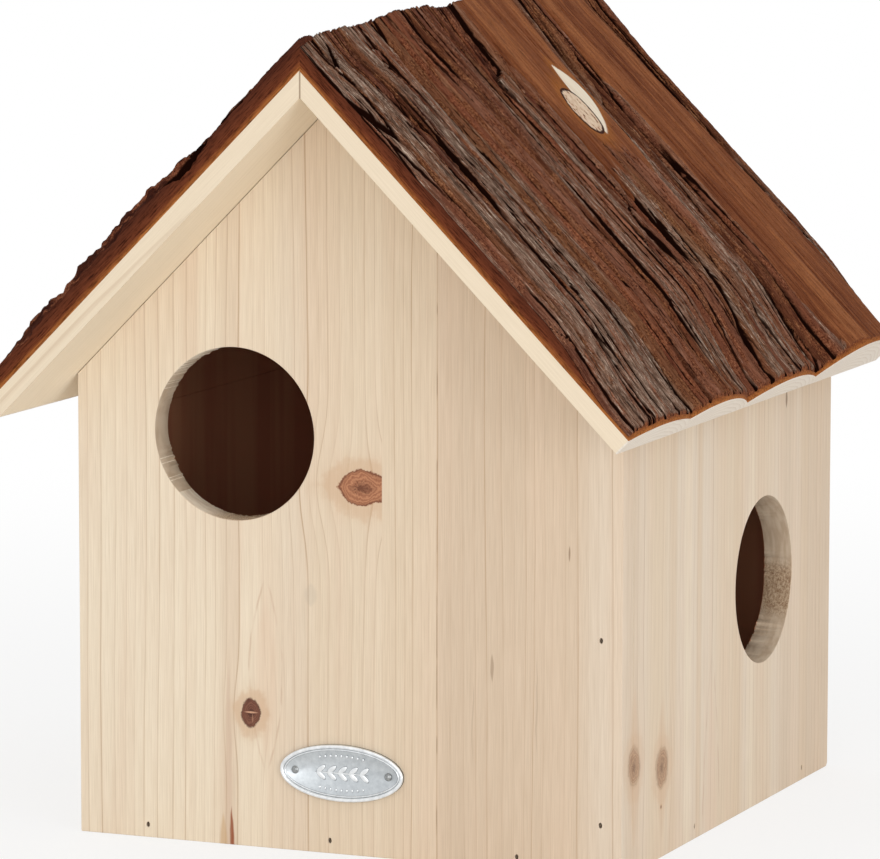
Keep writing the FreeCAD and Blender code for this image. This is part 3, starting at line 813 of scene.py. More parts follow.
def nails(group):
    """Small brads with oval heads, driven a little below the surface."""
    made = []
    for place, way in NAILS[group]:
        place, way = Vector(place), Vector(way)
        head = place + way * NAIL_SUNK
        flat = NAIL_HALF_WIDTH / NAIL_HALF_HEIGHT
        nail = rod("brad", head, head + way * NAIL_DEEP, NAIL_HALF_HEIGHT, vertices=20, flat=flat)
        points = points_of(nail)
        depth = (points - np.array(head)) @ np.array(way)
        offset = points - np.array(head) - depth[:, None] * np.array(way)
        points -= offset * np.where(depth > NAIL_DEEP / 2, NAIL_TAPER, 0.0)[:, None]
        put_points(nail, points)
        round_edges(nail, 0.25)
        made.append(nail)
    return joined(made, group.replace("nails", "brads"))


def joined(pieces, name):
    only(pieces[0])
    for piece in pieces[1:]:
        piece.select_set(True)
    if len(pieces) > 1:
        bpy.ops.object.join()
    pieces[0].name = name
    return pieces[0]


front_fir = board_material(
    "front_fir", ((CREAM, 0.8), (STRAW, 0.8), (ROSE, 0.65)), joints=((16.7, 0.1), (41.8, 0.8)), seed=3.0,
    knots=(
        (6.7, 157.7, 11.5, 20.0, 7.8, 1.0, 0.06, 16.7, RED_KNOT),
        (-44.0, 57.9, 5.0, 5.0, 6.3, 0.3, 0.12, 16.7, DARK_KNOT)
    ),
    washes=(
        (STRAW, -4.0, 45.0, 0.8), (ROSE, -54.0, 8.0, 0.4), (CHALK, -24.0, 12.0, 0.35),
        (CHALK, 119.0, 18.0, 0.7)
    ),
    flames=((-37.0, 74.5, 7.5, 43.0, 0.4),),
    streaks=(
        (RESIN, -53.2, 2.0, 1.3, 17.0, 1.0), (OCHRE, -57.0, -2.0, 2.6, 18.0, 0.6),
        (RESIN, -54.5, 30.0, 2.2, 60.0, 0.18), (PALE_CRACK, -44.0, 58.2, 3.8, 0.55, 1.0),
        (PALE_CRACK, -43.4, 55.6, 0.4, 2.6, 0.4), (GLUE_BROWN, 66.8, 85.2, 1.1, 7.0, 0.45),
        (GLUE_BROWN, 101.0, 135.6, 0.5, 4.0, 0.7), (SMUDGE, -15.9, 110.7, 4.0, 6.0, 0.2),
        (GLUE_BROWN, 87.0, 70.0, 0.5, 26.0, 0.25), (GLUE_BROWN, 58.0, 62.0, 0.5, 20.0, 0.2)
    )
)
side_fir = board_material(
    "side_fir", ((CHALK, 0.55),), bore_tint_and_shade=srgb(222, 213, 204), ring_width=4.4, seed=12.0,
    knots=(
        (14.3, 45.0, 7.0, 7.0, 9.0, 0.0, 0.4, 400.0, TAN_KNOT),
        (47.7, 38.9, 7.5, 7.5, 9.0, 0.0, 0.35, 400.0, TAN_KNOT),
        (46.8, 21.9, 0.8, 0.8, 0.8, 0.0, 0.2, 400.0, DARK_KNOT)
    ),
    washes=(
        (STRAW, 42.0, 20.0, 0.9), (ROSE, 12.0, 14.0, 0.6), (STRAW, 128.0, 26.0, 0.8),
        (STRAW, 172.0, 22.0, 0.7), (ROSE, 205.0, 14.0, 0.6), (ROSE, 250.0, 40.0, 0.8),
        (HONEY, 60.0, 7.0, 0.5), (CREAM, 78.0, 7.0, 0.6), (HONEY, 92.0, 5.0, 0.5),
        (HONEY, 141.0, 9.0, 0.4), (CREAM, 158.0, 7.0, 0.5), (HONEY, 228.0, 9.0, 0.4)
    ),
    flames=((108.8, 0.0, 10.0, 80.0, 0.45),),
    streaks=(
        (KNOT_HALO, 15.0, 44.0, 8.0, 40.0, 0.3), (KNOT_HALO, 48.0, 38.0, 8.0, 36.0, 0.3),
        (GLUE_BROWN, 203.0, 177.0, 1.6, 5.0, 0.8), (RESIN, 108.0, 192.0, 4.0, 18.0, 0.2)
    )
)
back_fir = board_material(
    "back_fir", ((STRAW, 0.8), (CREAM, 0.7), (ROSE, 0.6), (CREAM, 0.8)), seed=22.0,
    joints=((-62.0, 0.6), (9.0, 0.4), (74.0, 0.7)),
    knots=(
        (38.0, 96.0, 8.0, 8.0, 10.0, 0.3, 0.1, 200.0, RED_KNOT),
        (-88.0, 158.0, 5.0, 5.0, 6.5, 0.2, 0.15, 200.0, DARK_KNOT)
    ),
    flames=((-20.0, 90.0, 11.0, 70.0, 0.3),)
)
door_fir = board_material(
    "door_fir", ((CREAM, 0.8), (ROSE, 0.6), (STRAW, 0.7)), joints=((88.0, 0.6), (170.0, 0.5)), seed=31.0,
    knots=((132.0, 74.0, 7.0, 7.0, 9.0, 0.3, 0.15, 400.0, RED_KNOT),), flames=((40.0, 80.0, 10.0, 60.0, 0.3),)
)
plain_fir = board_material(
    "plain_fir", ((CREAM, 0.7), (STRAW, 0.7)), joints=((20.0, 0.4),), ring_width=4.5, seed=41.0
)

front_board = gable_board(
    "front_board", FRONT, INNER_FRONT,
    [entrance(FRONT_ENTRANCE, 1, FRONT, INNER_FRONT), *nail_cutters("front_wall_nails", "front_floor_nails")]
)
torn_rim(front_board, FRONT_ENTRANCE, INNER_FRONT, 1, seed=5, length=1.0, torn=(-80.0, 25.0))
SIDE_LOOK = ((SIDE, FRONT, 0), (0, 1, 0), (-1, 0, 0), (0, 0, 1))
lay_grain(front_board, ((0, FRONT, 0), (1, 0, 0), (0, 1, 0), (0, 0, 1), None), (*SIDE_LOOK, (1, 0, 0)))
dress(front_board, front_fir, "pale_board", "front_panel")
face_with(front_board, side_fir, (1, 0, 0))

corner_cuts = []
for lean in (22.5, 45.0, 67.5):
    way = Vector((0, math.cos(math.radians(lean)), -math.sin(math.radians(lean))))
    corner_cuts.append((Vector((0, BACK - CORNER, CORNER)) + CORNER * way, way))
back_board = gable_board(
    "back_board", INNER_BACK, BACK, nail_cutters("back_wall_nails", "back_floor_nails"), corner_cuts
)
lay_grain(back_board, ((0, BACK, 0), (-1, 0, 0), (0, -1, 0), (0, 0, 1), None), (*SIDE_LOOK, (1, 0, 0)))
dress(back_board, back_fir, "pale_board", "back_panel")
face_with(back_board, side_fir, (1, 0, 0))

right_board = side_board(
    "right_board", wall_low, wall_high,
    [entrance(SIDE_ENTRANCE, 0, INNER_SIDE, SIDE), *nail_cutters("side_floor_nails")], EASED_EDGE
)
torn_rim(right_board, SIDE_ENTRANCE, INNER_SIDE, 0, seed=6, length=1.9, torn=(-16.0, 18.0))
lay_grain(right_board, (*SIDE_LOOK, None))
dress(right_board, side_fir, "pale_board", "right_wall")

header_rail = side_board("header_rail", rail_low - Vector((0, 0, RAIL_DROP)), rail_high, [], RAIL_EDGE)
DOOR_LOOK = ((-SIDE, FRONT, 0), (0, 1, 0), (1, 0, 0), (0, 0, 1))
lay_grain(header_rail, ((-SIDE, FRONT, 0), (0, 0, 1), (1, 0, 0), (0, 1, 0), None), (*DOOR_LOOK, (1, 0, 0)))
dress(header_rail, plain_fir, "pale_board", "left_header_rail")
face_with(header_rail, door_fir, (1, 0, 0))

floor_board = block("floor_board", floor_low, floor_high)
round_edges(floor_board, FLOOR_EDGE)
lay_grain(floor_board, ((0, FRONT, 0), (1, 0, 0), (0, 0, 1), (0, 1, 0), None))
dress(floor_board, plain_fir, "pale_board", "floor_panel")

door_board = block("door_board", door_low, door_high)
notch_y = door_low.y + NOTCH_FROM_EDGE
notch_ends = [(x, notch_y, door_low.z) for x in (door_low.x - CUTTER_OVER, door_high.x + CUTTER_OVER)]
drill(door_board, [rod("notch_cutter", notch_ends[0], notch_ends[1], NOTCH_RADIUS, vertices=64)])
round_edges(door_board, DOOR_EDGE)
lay_grain(door_board, (*DOOR_LOOK, None))
dress(door_board, door_fir, "pale_board", "cleaning_door", body="door")


# Metal

def make_tarnish():
    """Cloudy patches and fine scratches on plated or cast metal."""
    group, t, given, result = new_group("tarnish", floats("Cloud", "Grit"), floats("Cloudy", "Scratch"))
    place = t.place()
    cloud = t.add("VectorMath", {0: place, "Scale": 1 / MM / given["Cloud"]}, operation="SCALE")
    grit = t.add("VectorMath", {0: place, "Scale": 1 / MM / given["Grit"]}, operation="SCALE")
    t.feed(result["Cloudy"], t.noise(cloud, detail=4.0, roughness=0.65))
    t.feed(result["Scratch"], t.noise(grit, detail=2.0, roughness=0.7))
    return group


TARNISH = make_tarnish()


def metal(name, dark, light, rough, cloud, grit, strength, field=None, groove=None):
    """Plated, cast or blackened metal, from its darkest colour to its lightest. Field darkens a relief's sunk
    ground, and groove is painted shade at the foot of what rises from it."""
    material, t, shader = new_material(name)
    worn = t.use(TARNISH, {"Cloud": cloud, "Grit": grit})
    colour = t.ramp(worn["Cloudy"], (0.3, *dark), (0.7, *light))
    if field:
        raised = t.attribute("raised", out=2)
        # The groove colour is painted shade at the foot of what rises; the field colour darkens the sunk
        # ground
        shade = t.ramp(raised, (0.0, *field), (0.1, *groove), (0.45, 255, 255, 255))
        colour = t.mix(1.0, colour, shade, mode="MULTIPLY")
    t.feed(shader["Base Color"], colour)
    t.feed(shader["Roughness"], worn["Cloudy"] * 0.25 + rough)
    shader["Metallic"].default_value = 1.0
    t.feed(shader["Normal"], bump(t, worn["Scratch"], strength, 0.1))
    return material


# Zinc from dark to light, its field, and its groove colour, which is painted shade at the foot of the relief
cast_zinc = metal(
    "cast_zinc", (218, 221, 223), (246, 248, 249), 0.26, 2.5, 0.35, 0.35, (216, 219, 221), (112, 118, 122)
)
plated_steel = metal("plated_steel", (176, 178, 176), (214, 214, 208), 0.22, 6.0, 0.25, 0.15)
nail_steel = metal("nail_steel", (70, 58, 48), (112, 98, 84), 0.4, 1.2, 0.3, 0.3)
pin_steel = metal("pin_steel", (120, 122, 122), (176, 178, 178), 0.22, 1.0, 0.3, 0.2)

for group in NAILS:
    dress(nails(group), nail_steel, "nail_steel", group)

HINGE_PARTS = [
    f"{place}_hinge_{part}" for place in ("upper", "lower") for part in ("frame_leaf", "door_leaf", "pin")
]
BUTTON_PARTS = ["turn_button", "turn_button_washer", "turn_button_screw"]
SCREWED_ON = ["hinge_frame_screws", "hinge_door_screws", "hanger_plate", "hanger_screws"]
FINISHES = [
    (plated_steel, HINGE_PARTS + BUTTON_PARTS + SCREWED_ON),
    (nail_steel, ["roof_nails"]),
    (pin_steel, ["plate_pins"]),
]
for finish, nodes in FINISHES:
    for node in nodes:
        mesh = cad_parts[node].data
        mesh.materials.clear()
        mesh.materials.append(finish)



# Oval plate

PLATE_EDGE = 1.2                      # height of its edge, up to the first step
# Steps from the plate's edge to its field, each inwards and then outwards
RIM_STEPS = [
    (0.15, 0.35), (0.25, 0.25), (0.45, 0.15), (0.45, -0.1), (0.3, -0.3),
    (0.2, -0.35), (0.25, 0.1), (0.25, 0.2), (0.25, -0.2), (0.2, -0.2)
]
FIELD_RISE = PLATE_EDGE + sum(outwards for inwards, outwards in RIM_STEPS)
RELIEF = 0.4
SPRIG = 25.0
LEAF = 5.4
LEAF_PAIRS = 5
LEAF_TURN = math.radians(38.0)
BEADS = 9
BEAD_RISE = 7.4
BEAD_REACH = 10.0


def oval_plate():
    """A cast oval with a rounded rim, a fine bead inside it and a sunk field with a leaf sprig in relief."""
    size = plate_high - plate_low
    middle = (plate_low + plate_high) / 2
    bpy.ops.object.select_all(action="DESELECT")
    bpy.ops.mesh.primitive_circle_add(
        vertices=192, radius=0.5, fill_type="NGON", location=(middle.x * MM, FRONT * MM, middle.z * MM),
        rotation=(math.pi / 2, 0, 0)
    )
    piece = settle(bpy.context.object, "zinc_oval", (size.x * MM, size.z * MM, 1))
    with editing(piece):
        bpy.ops.mesh.extrude_region_move(TRANSFORM_OT_translate={"value": (0, -PLATE_EDGE * MM, 0)})
        for inwards, outwards in RIM_STEPS:
            bpy.ops.mesh.inset(thickness=inwards * MM, depth=outwards * MM)
        bpy.ops.mesh.select_all(action="SELECT")
        bpy.ops.mesh.normals_make_consistent(inside=False)
    bpy.ops.object.shade_smooth_by_angle(angle=math.radians(60))
    piece = joined([piece] + leaf_sprig(middle), "zinc_oval")
    points = points_of(piece)
    # How far a point rises over the field: the zinc darkens the ground and paints shade at the foot of the
    # relief
    store(piece, "raised", smooth_step(FRONT - points[:, 1], FIELD_RISE, FIELD_RISE + 0.45))
    return piece


def blister(name, x, z, length, width, turn):
    """A low oval bump on the plate's field."""
    bpy.ops.object.select_all(action="DESELECT")
    bpy.ops.mesh.primitive_uv_sphere_add(
        segments=20, ring_count=10, radius=0.5, location=(x * MM, (FRONT - FIELD_RISE) * MM, z * MM),
        rotation=(0, turn, 0)
    )
    bpy.ops.object.shade_smooth()
    return settle(bpy.context.object, name, (length * MM, 2 * RELIEF * MM, width * MM))


def leaf_sprig(middle):
    """A stem with leaves on both sides, between two rows of beads."""
    relief = [blister("stem", middle.x, middle.z, SPRIG, 0.7, 0.0)]
    for number in range(LEAF_PAIRS):
        x = middle.x + SPRIG * ((number + 0.5) / LEAF_PAIRS - 0.55)
        for way in (-1, 1):
            z = middle.z + way * 0.42 * LEAF * math.sin(LEAF_TURN)
            reach = 0.42 * LEAF * math.cos(LEAF_TURN)
            relief.append(blister("leaf", x + reach, z, LEAF, 0.42 * LEAF, -way * LEAF_TURN))
    for number in range(BEADS):
        across = 2 * number / (BEADS - 1) - 1
        for way in (-1, 1):
            z = middle.z + way * (BEAD_RISE - 0.9 * across * across)
            relief.append(blister("bead", middle.x + across * BEAD_REACH, z, 1.0, 1.3, 0.0))
    return relief


zinc_oval = oval_plate()
dress(zinc_oval, cast_zinc, "cast_zinc", "oval_plate")


# Roof slabs: y runs along the ridge, s down the slope from the ridge's underside, n out of the slope.

SIDES = {"right": 1, "left": -1}


def off_slope(side, points):
    """(y, s, n) of points in the part's frame."""
    x = side * points[:, 0]
    drop = RIDGE - points[:, 2]
    s = x * math.cos(PITCH) + drop * math.sin(PITCH)
    n = x * math.sin(PITCH) - drop * math.cos(PITCH)
    return np.stack([points[:, 1], s, n], 1)


def on_slope(side, y, s, n):
    x = side * (s * math.cos(PITCH) + n * math.sin(PITCH))
    z = RIDGE - s * math.sin(PITCH) + n * math.cos(PITCH)
    return np.stack([x, y, z], -1)


def slab_wood_material():
    """Sawn slab: growth rings on its ends, long grain on its sides and underneath, a seam along the ridge."""
    material, t, shader = new_material("slab_fir")
    grain = t.attribute("grain", out=1)
    parts = t.split(grain)
    wood = t.use(FIR_GRAIN, {"Grain": grain, "Stave": 55.0, "Ring Width": 4.0, "Push": 0.0})
    above_pith = parts[1] + 80.0
    away = parts[0] * parts[0] + above_pith * above_pith
    waves = t.noise(t.stretch(grain, 14, 14, 60), detail=2.0)
    away = waves * 3.0 + t.math("SQRT", away)
    ring = t.math("FRACT", away / 2.3) ** 3.0
    end = t.smooth(parts[2], SLOPE - 0.8, SLOPE - 0.4)
    place = t.split(t.place())
    # The sides and underside are painted a little lighter than the slab's front end at the verge: painted
    # light that lifts the shade under the eaves
    verge = t.smooth(place[1], (ROOF_FRONT + 0.6) * MM, (ROOF_FRONT + 0.2) * MM)
    side_colour_painted_light = t.mix(verge, srgb(244, 229, 205), srgb(236, 219, 194))
    side_colour_painted_light = t.mix(wood["Line"] * 0.35, side_colour_painted_light, LATEWOOD)
    end_colour = t.mix(ring * 0.4, srgb(236, 226, 214), srgb(200, 180, 158))
    colour = t.mix(end, side_colour_painted_light, end_colour)
    fibre = t.ramp(wood["Fibre"], (0.2, 240, 238, 234), (0.8, 255, 255, 255))
    colour = t.mix(1.0, colour, fibre, mode="MULTIPLY")
    seam = t.smooth(abs(place[0]), 0.5 * MM, 0.2 * MM)
    colour = t.mix(seam * 0.7, colour, GLUE_BROWN)
    inside = t.use(CHAMBER, {})["Inside"]
    colour = t.mix(inside, colour, CHAMBER_TAN)
    t.feed(shader["Base Color"], colour)
    shader["Roughness"].default_value = 0.7
    shader["Specular IOR Level"].default_value = 0.25
    fuzz = t.noise(t.stretch(grain, 0.7, 0.7, 0.9), detail=4.0, roughness=0.7)
    height = wood["Fibre"] + end * fuzz * 4.0
    t.feed(shader["Normal"], bump(t, height, 0.3, 0.15))
    return material


slab_fir = slab_wood_material()


class Slab:
    """One roof slab as the frame gives it: where it lies, and how thick its wood and bark are across it."""

    def __init__(self, name, number):
        self.name = name
        self.number = number
        self.side = SIDES[name]
        self.wood_node = f"{name}_roof_slab_{number}"
        self.bark_node = f"{name}_roof_bark_{number}"
        low, high = cad(self.wood_node)
        self.y0 = low.y
        self.y1 = high.y
        self.middle = (self.y0 + self.y1) / 2
        points = off_slope(self.side, points_of(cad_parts[self.wood_node]))
        end = points[(points[:, 1] > SLOPE - 0.05) & (points[:, 2] > 0.5)]
        end = end[np.argsort(end[:, 0])]
        self.wood_y = end[:, 0]
        self.wood_n = end[:, 2]
        self.crown = self.wood_n.max()
        self.read_bark()

    def read_bark(self):
        """Takes the bark's outline from its cut at the ridge, and tells its furrows from its flats."""
        points = points_of(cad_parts[self.bark_node])
        cut = off_slope(self.side, points[np.abs(points[:, 0]) < 0.05])
        cut = cut[cut[:, 2] > self.wood_height(cut[:, 0]) + 0.8]
        y, first = np.unique(np.round(cut[:, 0], 2), return_index=True)
        n = cut[first, 2]
        sunk = np.zeros(len(y), bool)
        sunk[1:-1] = n[1:-1] < (n[:-2] + n[2:]) / 2 - 1.0
        self.furrows = y[sunk]
        self.bark_y = y[~sunk]
        self.bark_n = n[~sunk]

    def wood_height(self, y):
        return np.interp(y, self.wood_y, self.wood_n)

    def bark_height(self, y):
        return np.interp(y, self.bark_y, self.bark_n)

    def wood(self):
        piece = cad_copy(self.wood_node, f"{self.name}_sawn_slab_{self.number}")
        round_edges(piece, 0.3)
        place = off_slope(self.side, points_of(piece))
        grain = np.stack([place[:, 0] - self.middle, place[:, 2] - self.crown, place[:, 1]], 1)
        store(piece, "grain", grain)
        return dress(piece, slab_fir, "slab_wood", self.wood_node)


# Bark. For each slab from the front to the rear: how far its outer bark has peeled at the ridge and at the
# eave, over 0 where it has, and how weathered it is.
BARK = {
    "right": [(-2.0, -2.0, 0.8), (-0.7, -1.0, 0.2), (1.5, -2.2, 0.42), (1.6, 1.6, 0.5)],
    "left": [(-2.0, -2.0, 0.2), (-0.6, -1.0, 0.55), (1.4, 0.9, 0.35), (-1.2, -0.6, 0.5)],
}

# Main furrows, as wide and as deep as in the construction
FURROW_WIDTH = 5.0
FURROW_DEPTH = 2.6
EAVE_BARK = 3.6                       # what is left of the bark's thickness at the eave
EAVE_RECESS = 0.3                     # the cut edge of the bark starts this far behind the wood's

# Other cracks of the right slope: y from the front verge at the top and at the bottom, s at the top and at
# the bottom, width and depth
CRACKS = [
    (27.0, 31.0, 14.0, 46.0, 2.2, 3.2),
    (55.0, 45.0, -12.0, 90.0, 1.5, 2.8),
    (114.0, 103.0, 48.0, 118.0, 1.3, 2.6),
    (163.0, 159.0, 92.0, 136.0, 1.4, 2.8),
    (171.0, 160.0, -8.0, 60.0, 0.6, 1.8),
    (184.0, 170.0, 98.0, 205.0, 1.9, 3.6),
    (207.0, 190.0, 140.0, 210.0, 1.6, 3.2),
    (257.0, 247.5, -30.0, 70.0, 1.0, 2.5),
    (247.5, 248.4, 0.0, 215.0, 1.0, 2.5),
]

# Sawn-off branch on the right slope: y from the front verge, and s
SCAR_TIPS = ((207.0, 20.0), (200.0, 61.0))
SCAR_WIDE = 14.0
BRANCH = (196.0, 46.5)
BRANCH_HALF = (10.0, 14.0)
SCAR_SLAB = 3
SCAR_HEIGHT = 20.8

COLUMN_PITCH = 0.36                   # between the surface's points along the ridge
ROW_PITCH = 0.75                      # and down the slope
LEAST_BARK = 1.2                      # over the wood, in the deepest crack

# The bark's height along the ridge: y from the front verge, and the height
RIDGE_LINE = [
    (0.0, 18.4), (30.0, 19.0), (70.0, 19.3), (80.0, 20.2), (100.0, 21.8), (132.0, 21.9), (149.0, 20.8),
    (170.0, 21.8), (230.0, 21.4), (240.0, 20.6), (280.0, 21.6), (330.0, 19.6)
]
TOP_SHARE = 0.93                      # share of the rows that lie on top; the others fold down over the eave
BAND = 1.0                            # least bark left bare as a cut edge under the fold

# How far the bark of the left front verge stands over the construction's: s, and the rise
LEFT_VERGE = [
    (-20.0, -0.5), (30.0, 0.0), (80.0, 2.6), (125.0, 2.2), (160.0, 0.8), (178.0, 0.0), (200.0, -0.6)
]

# Outer bark that is left along the edges of peeled slabs on the right: its width at the front edge by the
# ridge and by the eave, and at the rear edge
ROUGH_STRIPS = {3: (18.0, 18.0, 12.0), 4: (16.0, 20.0, 28.0)}
# Half width of the crack at each joint between slabs
JOINT_CRACKS = (1.2, 1.2, 1.9)

# Width and length of the outer bark's plates, of the strips and fibres that they split into, and of the inner
# bark's strips
PLATE = (12.0, 210.0)
STRIP = (4.6, 120.0)
FIBRE = (1.4, 36.0)
INNER_STRIP = (5.0, 110.0)


class Bark:
    """The bark on one slab: its surface as heights over the slope, and what its material needs to know."""

    def __init__(self, slab):
        self.slab = slab
        self.peel_ridge, self.peel_eave, self.grey = BARK[slab.name][slab.number - 1]
        self.seed = 100 * slab.number + (0 if slab.side > 0 else 50)
        self.last = len(BARK[slab.name])

    def noise(self, number):
        return SoftNoise(self.seed + number)

    def swing(self, number, x, y):
        """Noise to both sides of nought."""
        return self.noise(number)(x, y) - 0.5

    def joint(self, s, which):
        """How far the edge of the bark strays from the slab's straight edge, shared with the neighbour."""
        number = self.slab.number + which
        if number in (0, self.last):
            return np.zeros_like(s)
        wander = SoftNoise(7000 + 10 * number + self.slab.side)
        slow = wander(s / 55.0, np.full_like(s, 0.5)) - 0.5
        quick = wander(s / 12.0, np.full_like(s, 20.5)) - 0.5
        return 5.0 * slow + 1.6 * quick

    def square_cut(self, y):
        """1 at the left front verge, where the bark keeps its thickness to the eave, and 0 away from it."""
        if self.slab.side > 0 or self.slab.number > 1:
            return np.zeros_like(y)
        return 1 - smooth_step(y - self.slab.y0, 0.0, 30.0)

    def base(self, y, s):
        """Height of the flats: the construction's, led to the ridge's line, thinner towards the eave and
        rounded off at the front verges."""
        height = self.slab.bark_height(y)
        ridge = 1 - smooth_step(s, -15.0, 25.0)
        height = height + ridge * (np.interp(y - ROOF_FRONT, *zip(*RIDGE_LINE)) - height)
        thin = self.slab.wood_height(y) + EAVE_BARK + 4.0 * self.square_cut(y)
        height = height + smooth_step(s, SLOPE - 60.0, SLOPE - 4.0) * (np.minimum(thin, height) - height)
        if self.slab.number > 1:
            return height
        inwards = y - self.slab.y0
        if self.slab.side > 0:
            return height - (2.6 + 0.6 * ridge) * (1 - smooth_step(inwards, 0.0, 6.0 + 14.0 * ridge))
        crown = smooth_step(s, 30.0, 60.0) * (1 - smooth_step(s, 160.0, 182.0))
        bumps = 2.6 * self.swing(71, s / 15, y / 30) + 1.8 * self.swing(73, s / 5, y / 8)
        bumps += 1.6 * self.swing(74, s / 2.2, y / 3)
        rise = np.interp(s, *zip(*LEFT_VERGE)) + bumps * crown
        height = height + rise * (1 - smooth_step(inwards, 8.0, 40.0))
        return height - 3.0 * crown * (1 - smooth_step(inwards, 0.0, 4.0))

    def rough(self, y, s):
        """Outer bark: long flat plates with cracks between them, split into strips and fibres. Gives the
        height, the cracks, the tone and the hue."""
        jagged = 0.45 * self.swing(16, s / 3.0, y / 2.0)
        wander = 2.2 * self.swing(1, s / 120, y / 40) + 0.5 * self.swing(2, s / 30, y / 9)
        u = y + wander + jagged
        gap, own, lean = plates(u / PLATE[0], s / PLATE[1], self.seed + 3)
        thin, strip, tilt = plates(u / STRIP[0] + 3.0 * own, s / STRIP[1], self.seed + 4)
        hair, thread = plates(u / FIBRE[0] + 2.0 * strip, s / FIBRE[1], self.seed + 9)[:2]
        deep = (1 - smooth_step(gap, 0.03, 0.21)) * (0.2 + 1.1 * self.noise(5)(y / 18, s / 90))
        fine = (1 - smooth_step(thin, 0.03, 0.27)) * (0.15 + 1.1 * self.noise(8)(y / 9, s / 50))
        hairline = 1 - smooth_step(hair, 0.0, 0.3)
        height = (2.0 + 1.6 * lean) * (own - 0.5) + (1.2 + tilt) * (strip - 0.5)
        height += 0.35 * (thread - 0.5) + 0.4 * self.swing(7, u / 0.8, s / 1.8) - 0.6
        height -= 2.0 * deep + 1.0 * fine + 0.25 * hairline
        crack_dark_and_shade = np.maximum(deep, np.maximum(0.8 * fine, 0.25 * hairline))
        return height, crack_dark_and_shade, 0.45 * own + 0.4 * strip + 0.15 * thread, (7.3 * own + 0.5 * strip) % 1.0

    def smooth(self, y, s):
        """Inner bark where the outer bark has flaked away."""
        wave = self.swing(11, y / 11, s / 90)
        strip, value = plates(y / INNER_STRIP[0], s / INNER_STRIP[1], self.seed + 14)[:2]
        line = 1 - smooth_step(strip, 0.0, 0.08)
        fibre = self.swing(12, y / 1.1, s / 34)
        grit = self.swing(13, y / 0.7, s / 2.5)
        height = 0.8 * wave + 0.4 * (value - 0.5) + 0.25 * fibre + 0.16 * grit - 0.4 * line - 0.4
        return height, 0.35 * line, 0.5 + 0.5 * wave + 0.4 * (value - 0.5) + 0.4 * fibre

    def peeled(self, y, s):
        """1 where the outer bark has flaked away, and 0 where it is left."""
        share = np.clip(s / SLOPE, 0, 1)
        level = self.peel_ridge * (1 - share) + self.peel_eave * share
        level = level + 1.5 * self.swing(21, y / 13, s / 95) + 0.45 * self.swing(22, y / 2.5, s / 22)
        if self.slab.side > 0 and self.slab.number in ROUGH_STRIPS:
            by_ridge, by_eave, rear = ROUGH_STRIPS[self.slab.number]
            ragged = 8.0 * self.swing(23, s / 40, y / 90)
            strip = by_ridge + (by_eave - by_ridge) * share + ragged
            level = level - 4.0 * (1 - smooth_step(y - self.slab.y0, strip - 2.0, strip + 1.0))
            edge = self.slab.y1 - rear * (1 - 0.6 * share)
            level = level - 4.0 * smooth_step(y, edge + 0.4 * ragged, edge + 3.0)
        return smooth_step(level, -0.06, 0.06)

    def furrows(self, y, s):
        """Depth of the slab's main furrows, which wander and are wider lower down, and of the other
        cracks."""
        fall = np.zeros_like(y)
        for furrow in self.slab.furrows:
            wander = SoftNoise(int(10 * (furrow - ROOF_FRONT)) + self.slab.side)
            bend = 2.2 * (wander(s / 70, np.full_like(s, 0.5)) - 0.5)
            bend += 0.6 * (wander(s / 8, np.full_like(s, 9.5)) - 0.5)
            wide = FURROW_WIDTH * (0.4 + 0.6 * wander(s / 50, np.full_like(s, 30.5)))
            wide = wide * (0.55 + 0.5 * smooth_step(s, 10.0, 110.0))
            share = np.clip(1 - np.abs(y - furrow - bend) / (wide / 2), 0, 1)
            deep = FURROW_DEPTH * (0.7 + 0.7 * wander(s / 45, y / 60 + 20))
            fall = np.maximum(fall, deep * smooth_step(share, 0.1, 0.8))
        if self.slab.number == 1:
            fall = fall * smooth_step(y - self.slab.y0, 5.0, 17.0)
        if self.slab.side < 0:
            return fall
        for top, bottom, start, end, width, depth in CRACKS:
            share = np.clip((s - start) / (end - start), 0, 1)
            wander = SoftNoise(int(10 * top))(s / 30, np.full_like(s, 0.5)) - 0.5
            middle = ROOF_FRONT + top + (bottom - top) * share + 1.8 * wander
            ends = smooth_step(share, 0.0, 0.3) * (1 - smooth_step(share, 0.7, 1.0))
            half = width * (0.4 + 0.6 * ends)
            fall = np.maximum(fall, depth * ends * np.exp(-((y - middle) / half) ** 2))
        return fall

    def groove(self, y, s):
        """Depth of the crack along the joints with the neighbouring slabs."""
        fall = np.zeros_like(y)
        if self.slab.number > 1:
            gap = np.maximum(y - self.slab.y0 - self.joint(s, -1), 0)
            fall = np.exp(-(gap / JOINT_CRACKS[self.slab.number - 2]) ** 2)
        if self.slab.number < self.last:
            gap = np.maximum(self.slab.y1 + self.joint(s, 0) - y, 0)
            fall = np.maximum(fall, np.exp(-(gap / JOINT_CRACKS[self.slab.number - 1]) ** 2))
        return 3.6 * fall * (0.4 + 0.9 * self.noise(51)(s / 35, y / 50))

    def worn(self, y, s, n):
        """How much of the relief is left: less towards the ridge, the eave and the verges."""
        left = 0.35 + 0.65 * smooth_step(s + n * math.tan(PITCH), 0.0, 14.0)
        left = left * (0.7 + 0.3 * smooth_step(SLOPE - s, 0.0, 12.0))
        if self.slab.number == 1 and self.slab.side > 0:
            left = left * (0.4 + 0.6 * smooth_step(y, self.slab.y0, self.slab.y0 + 6.0))
        if self.slab.number == self.last:
            left = left * (0.5 + 0.5 * smooth_step(self.slab.y1 - y, 0.0, 6.0))
        return left

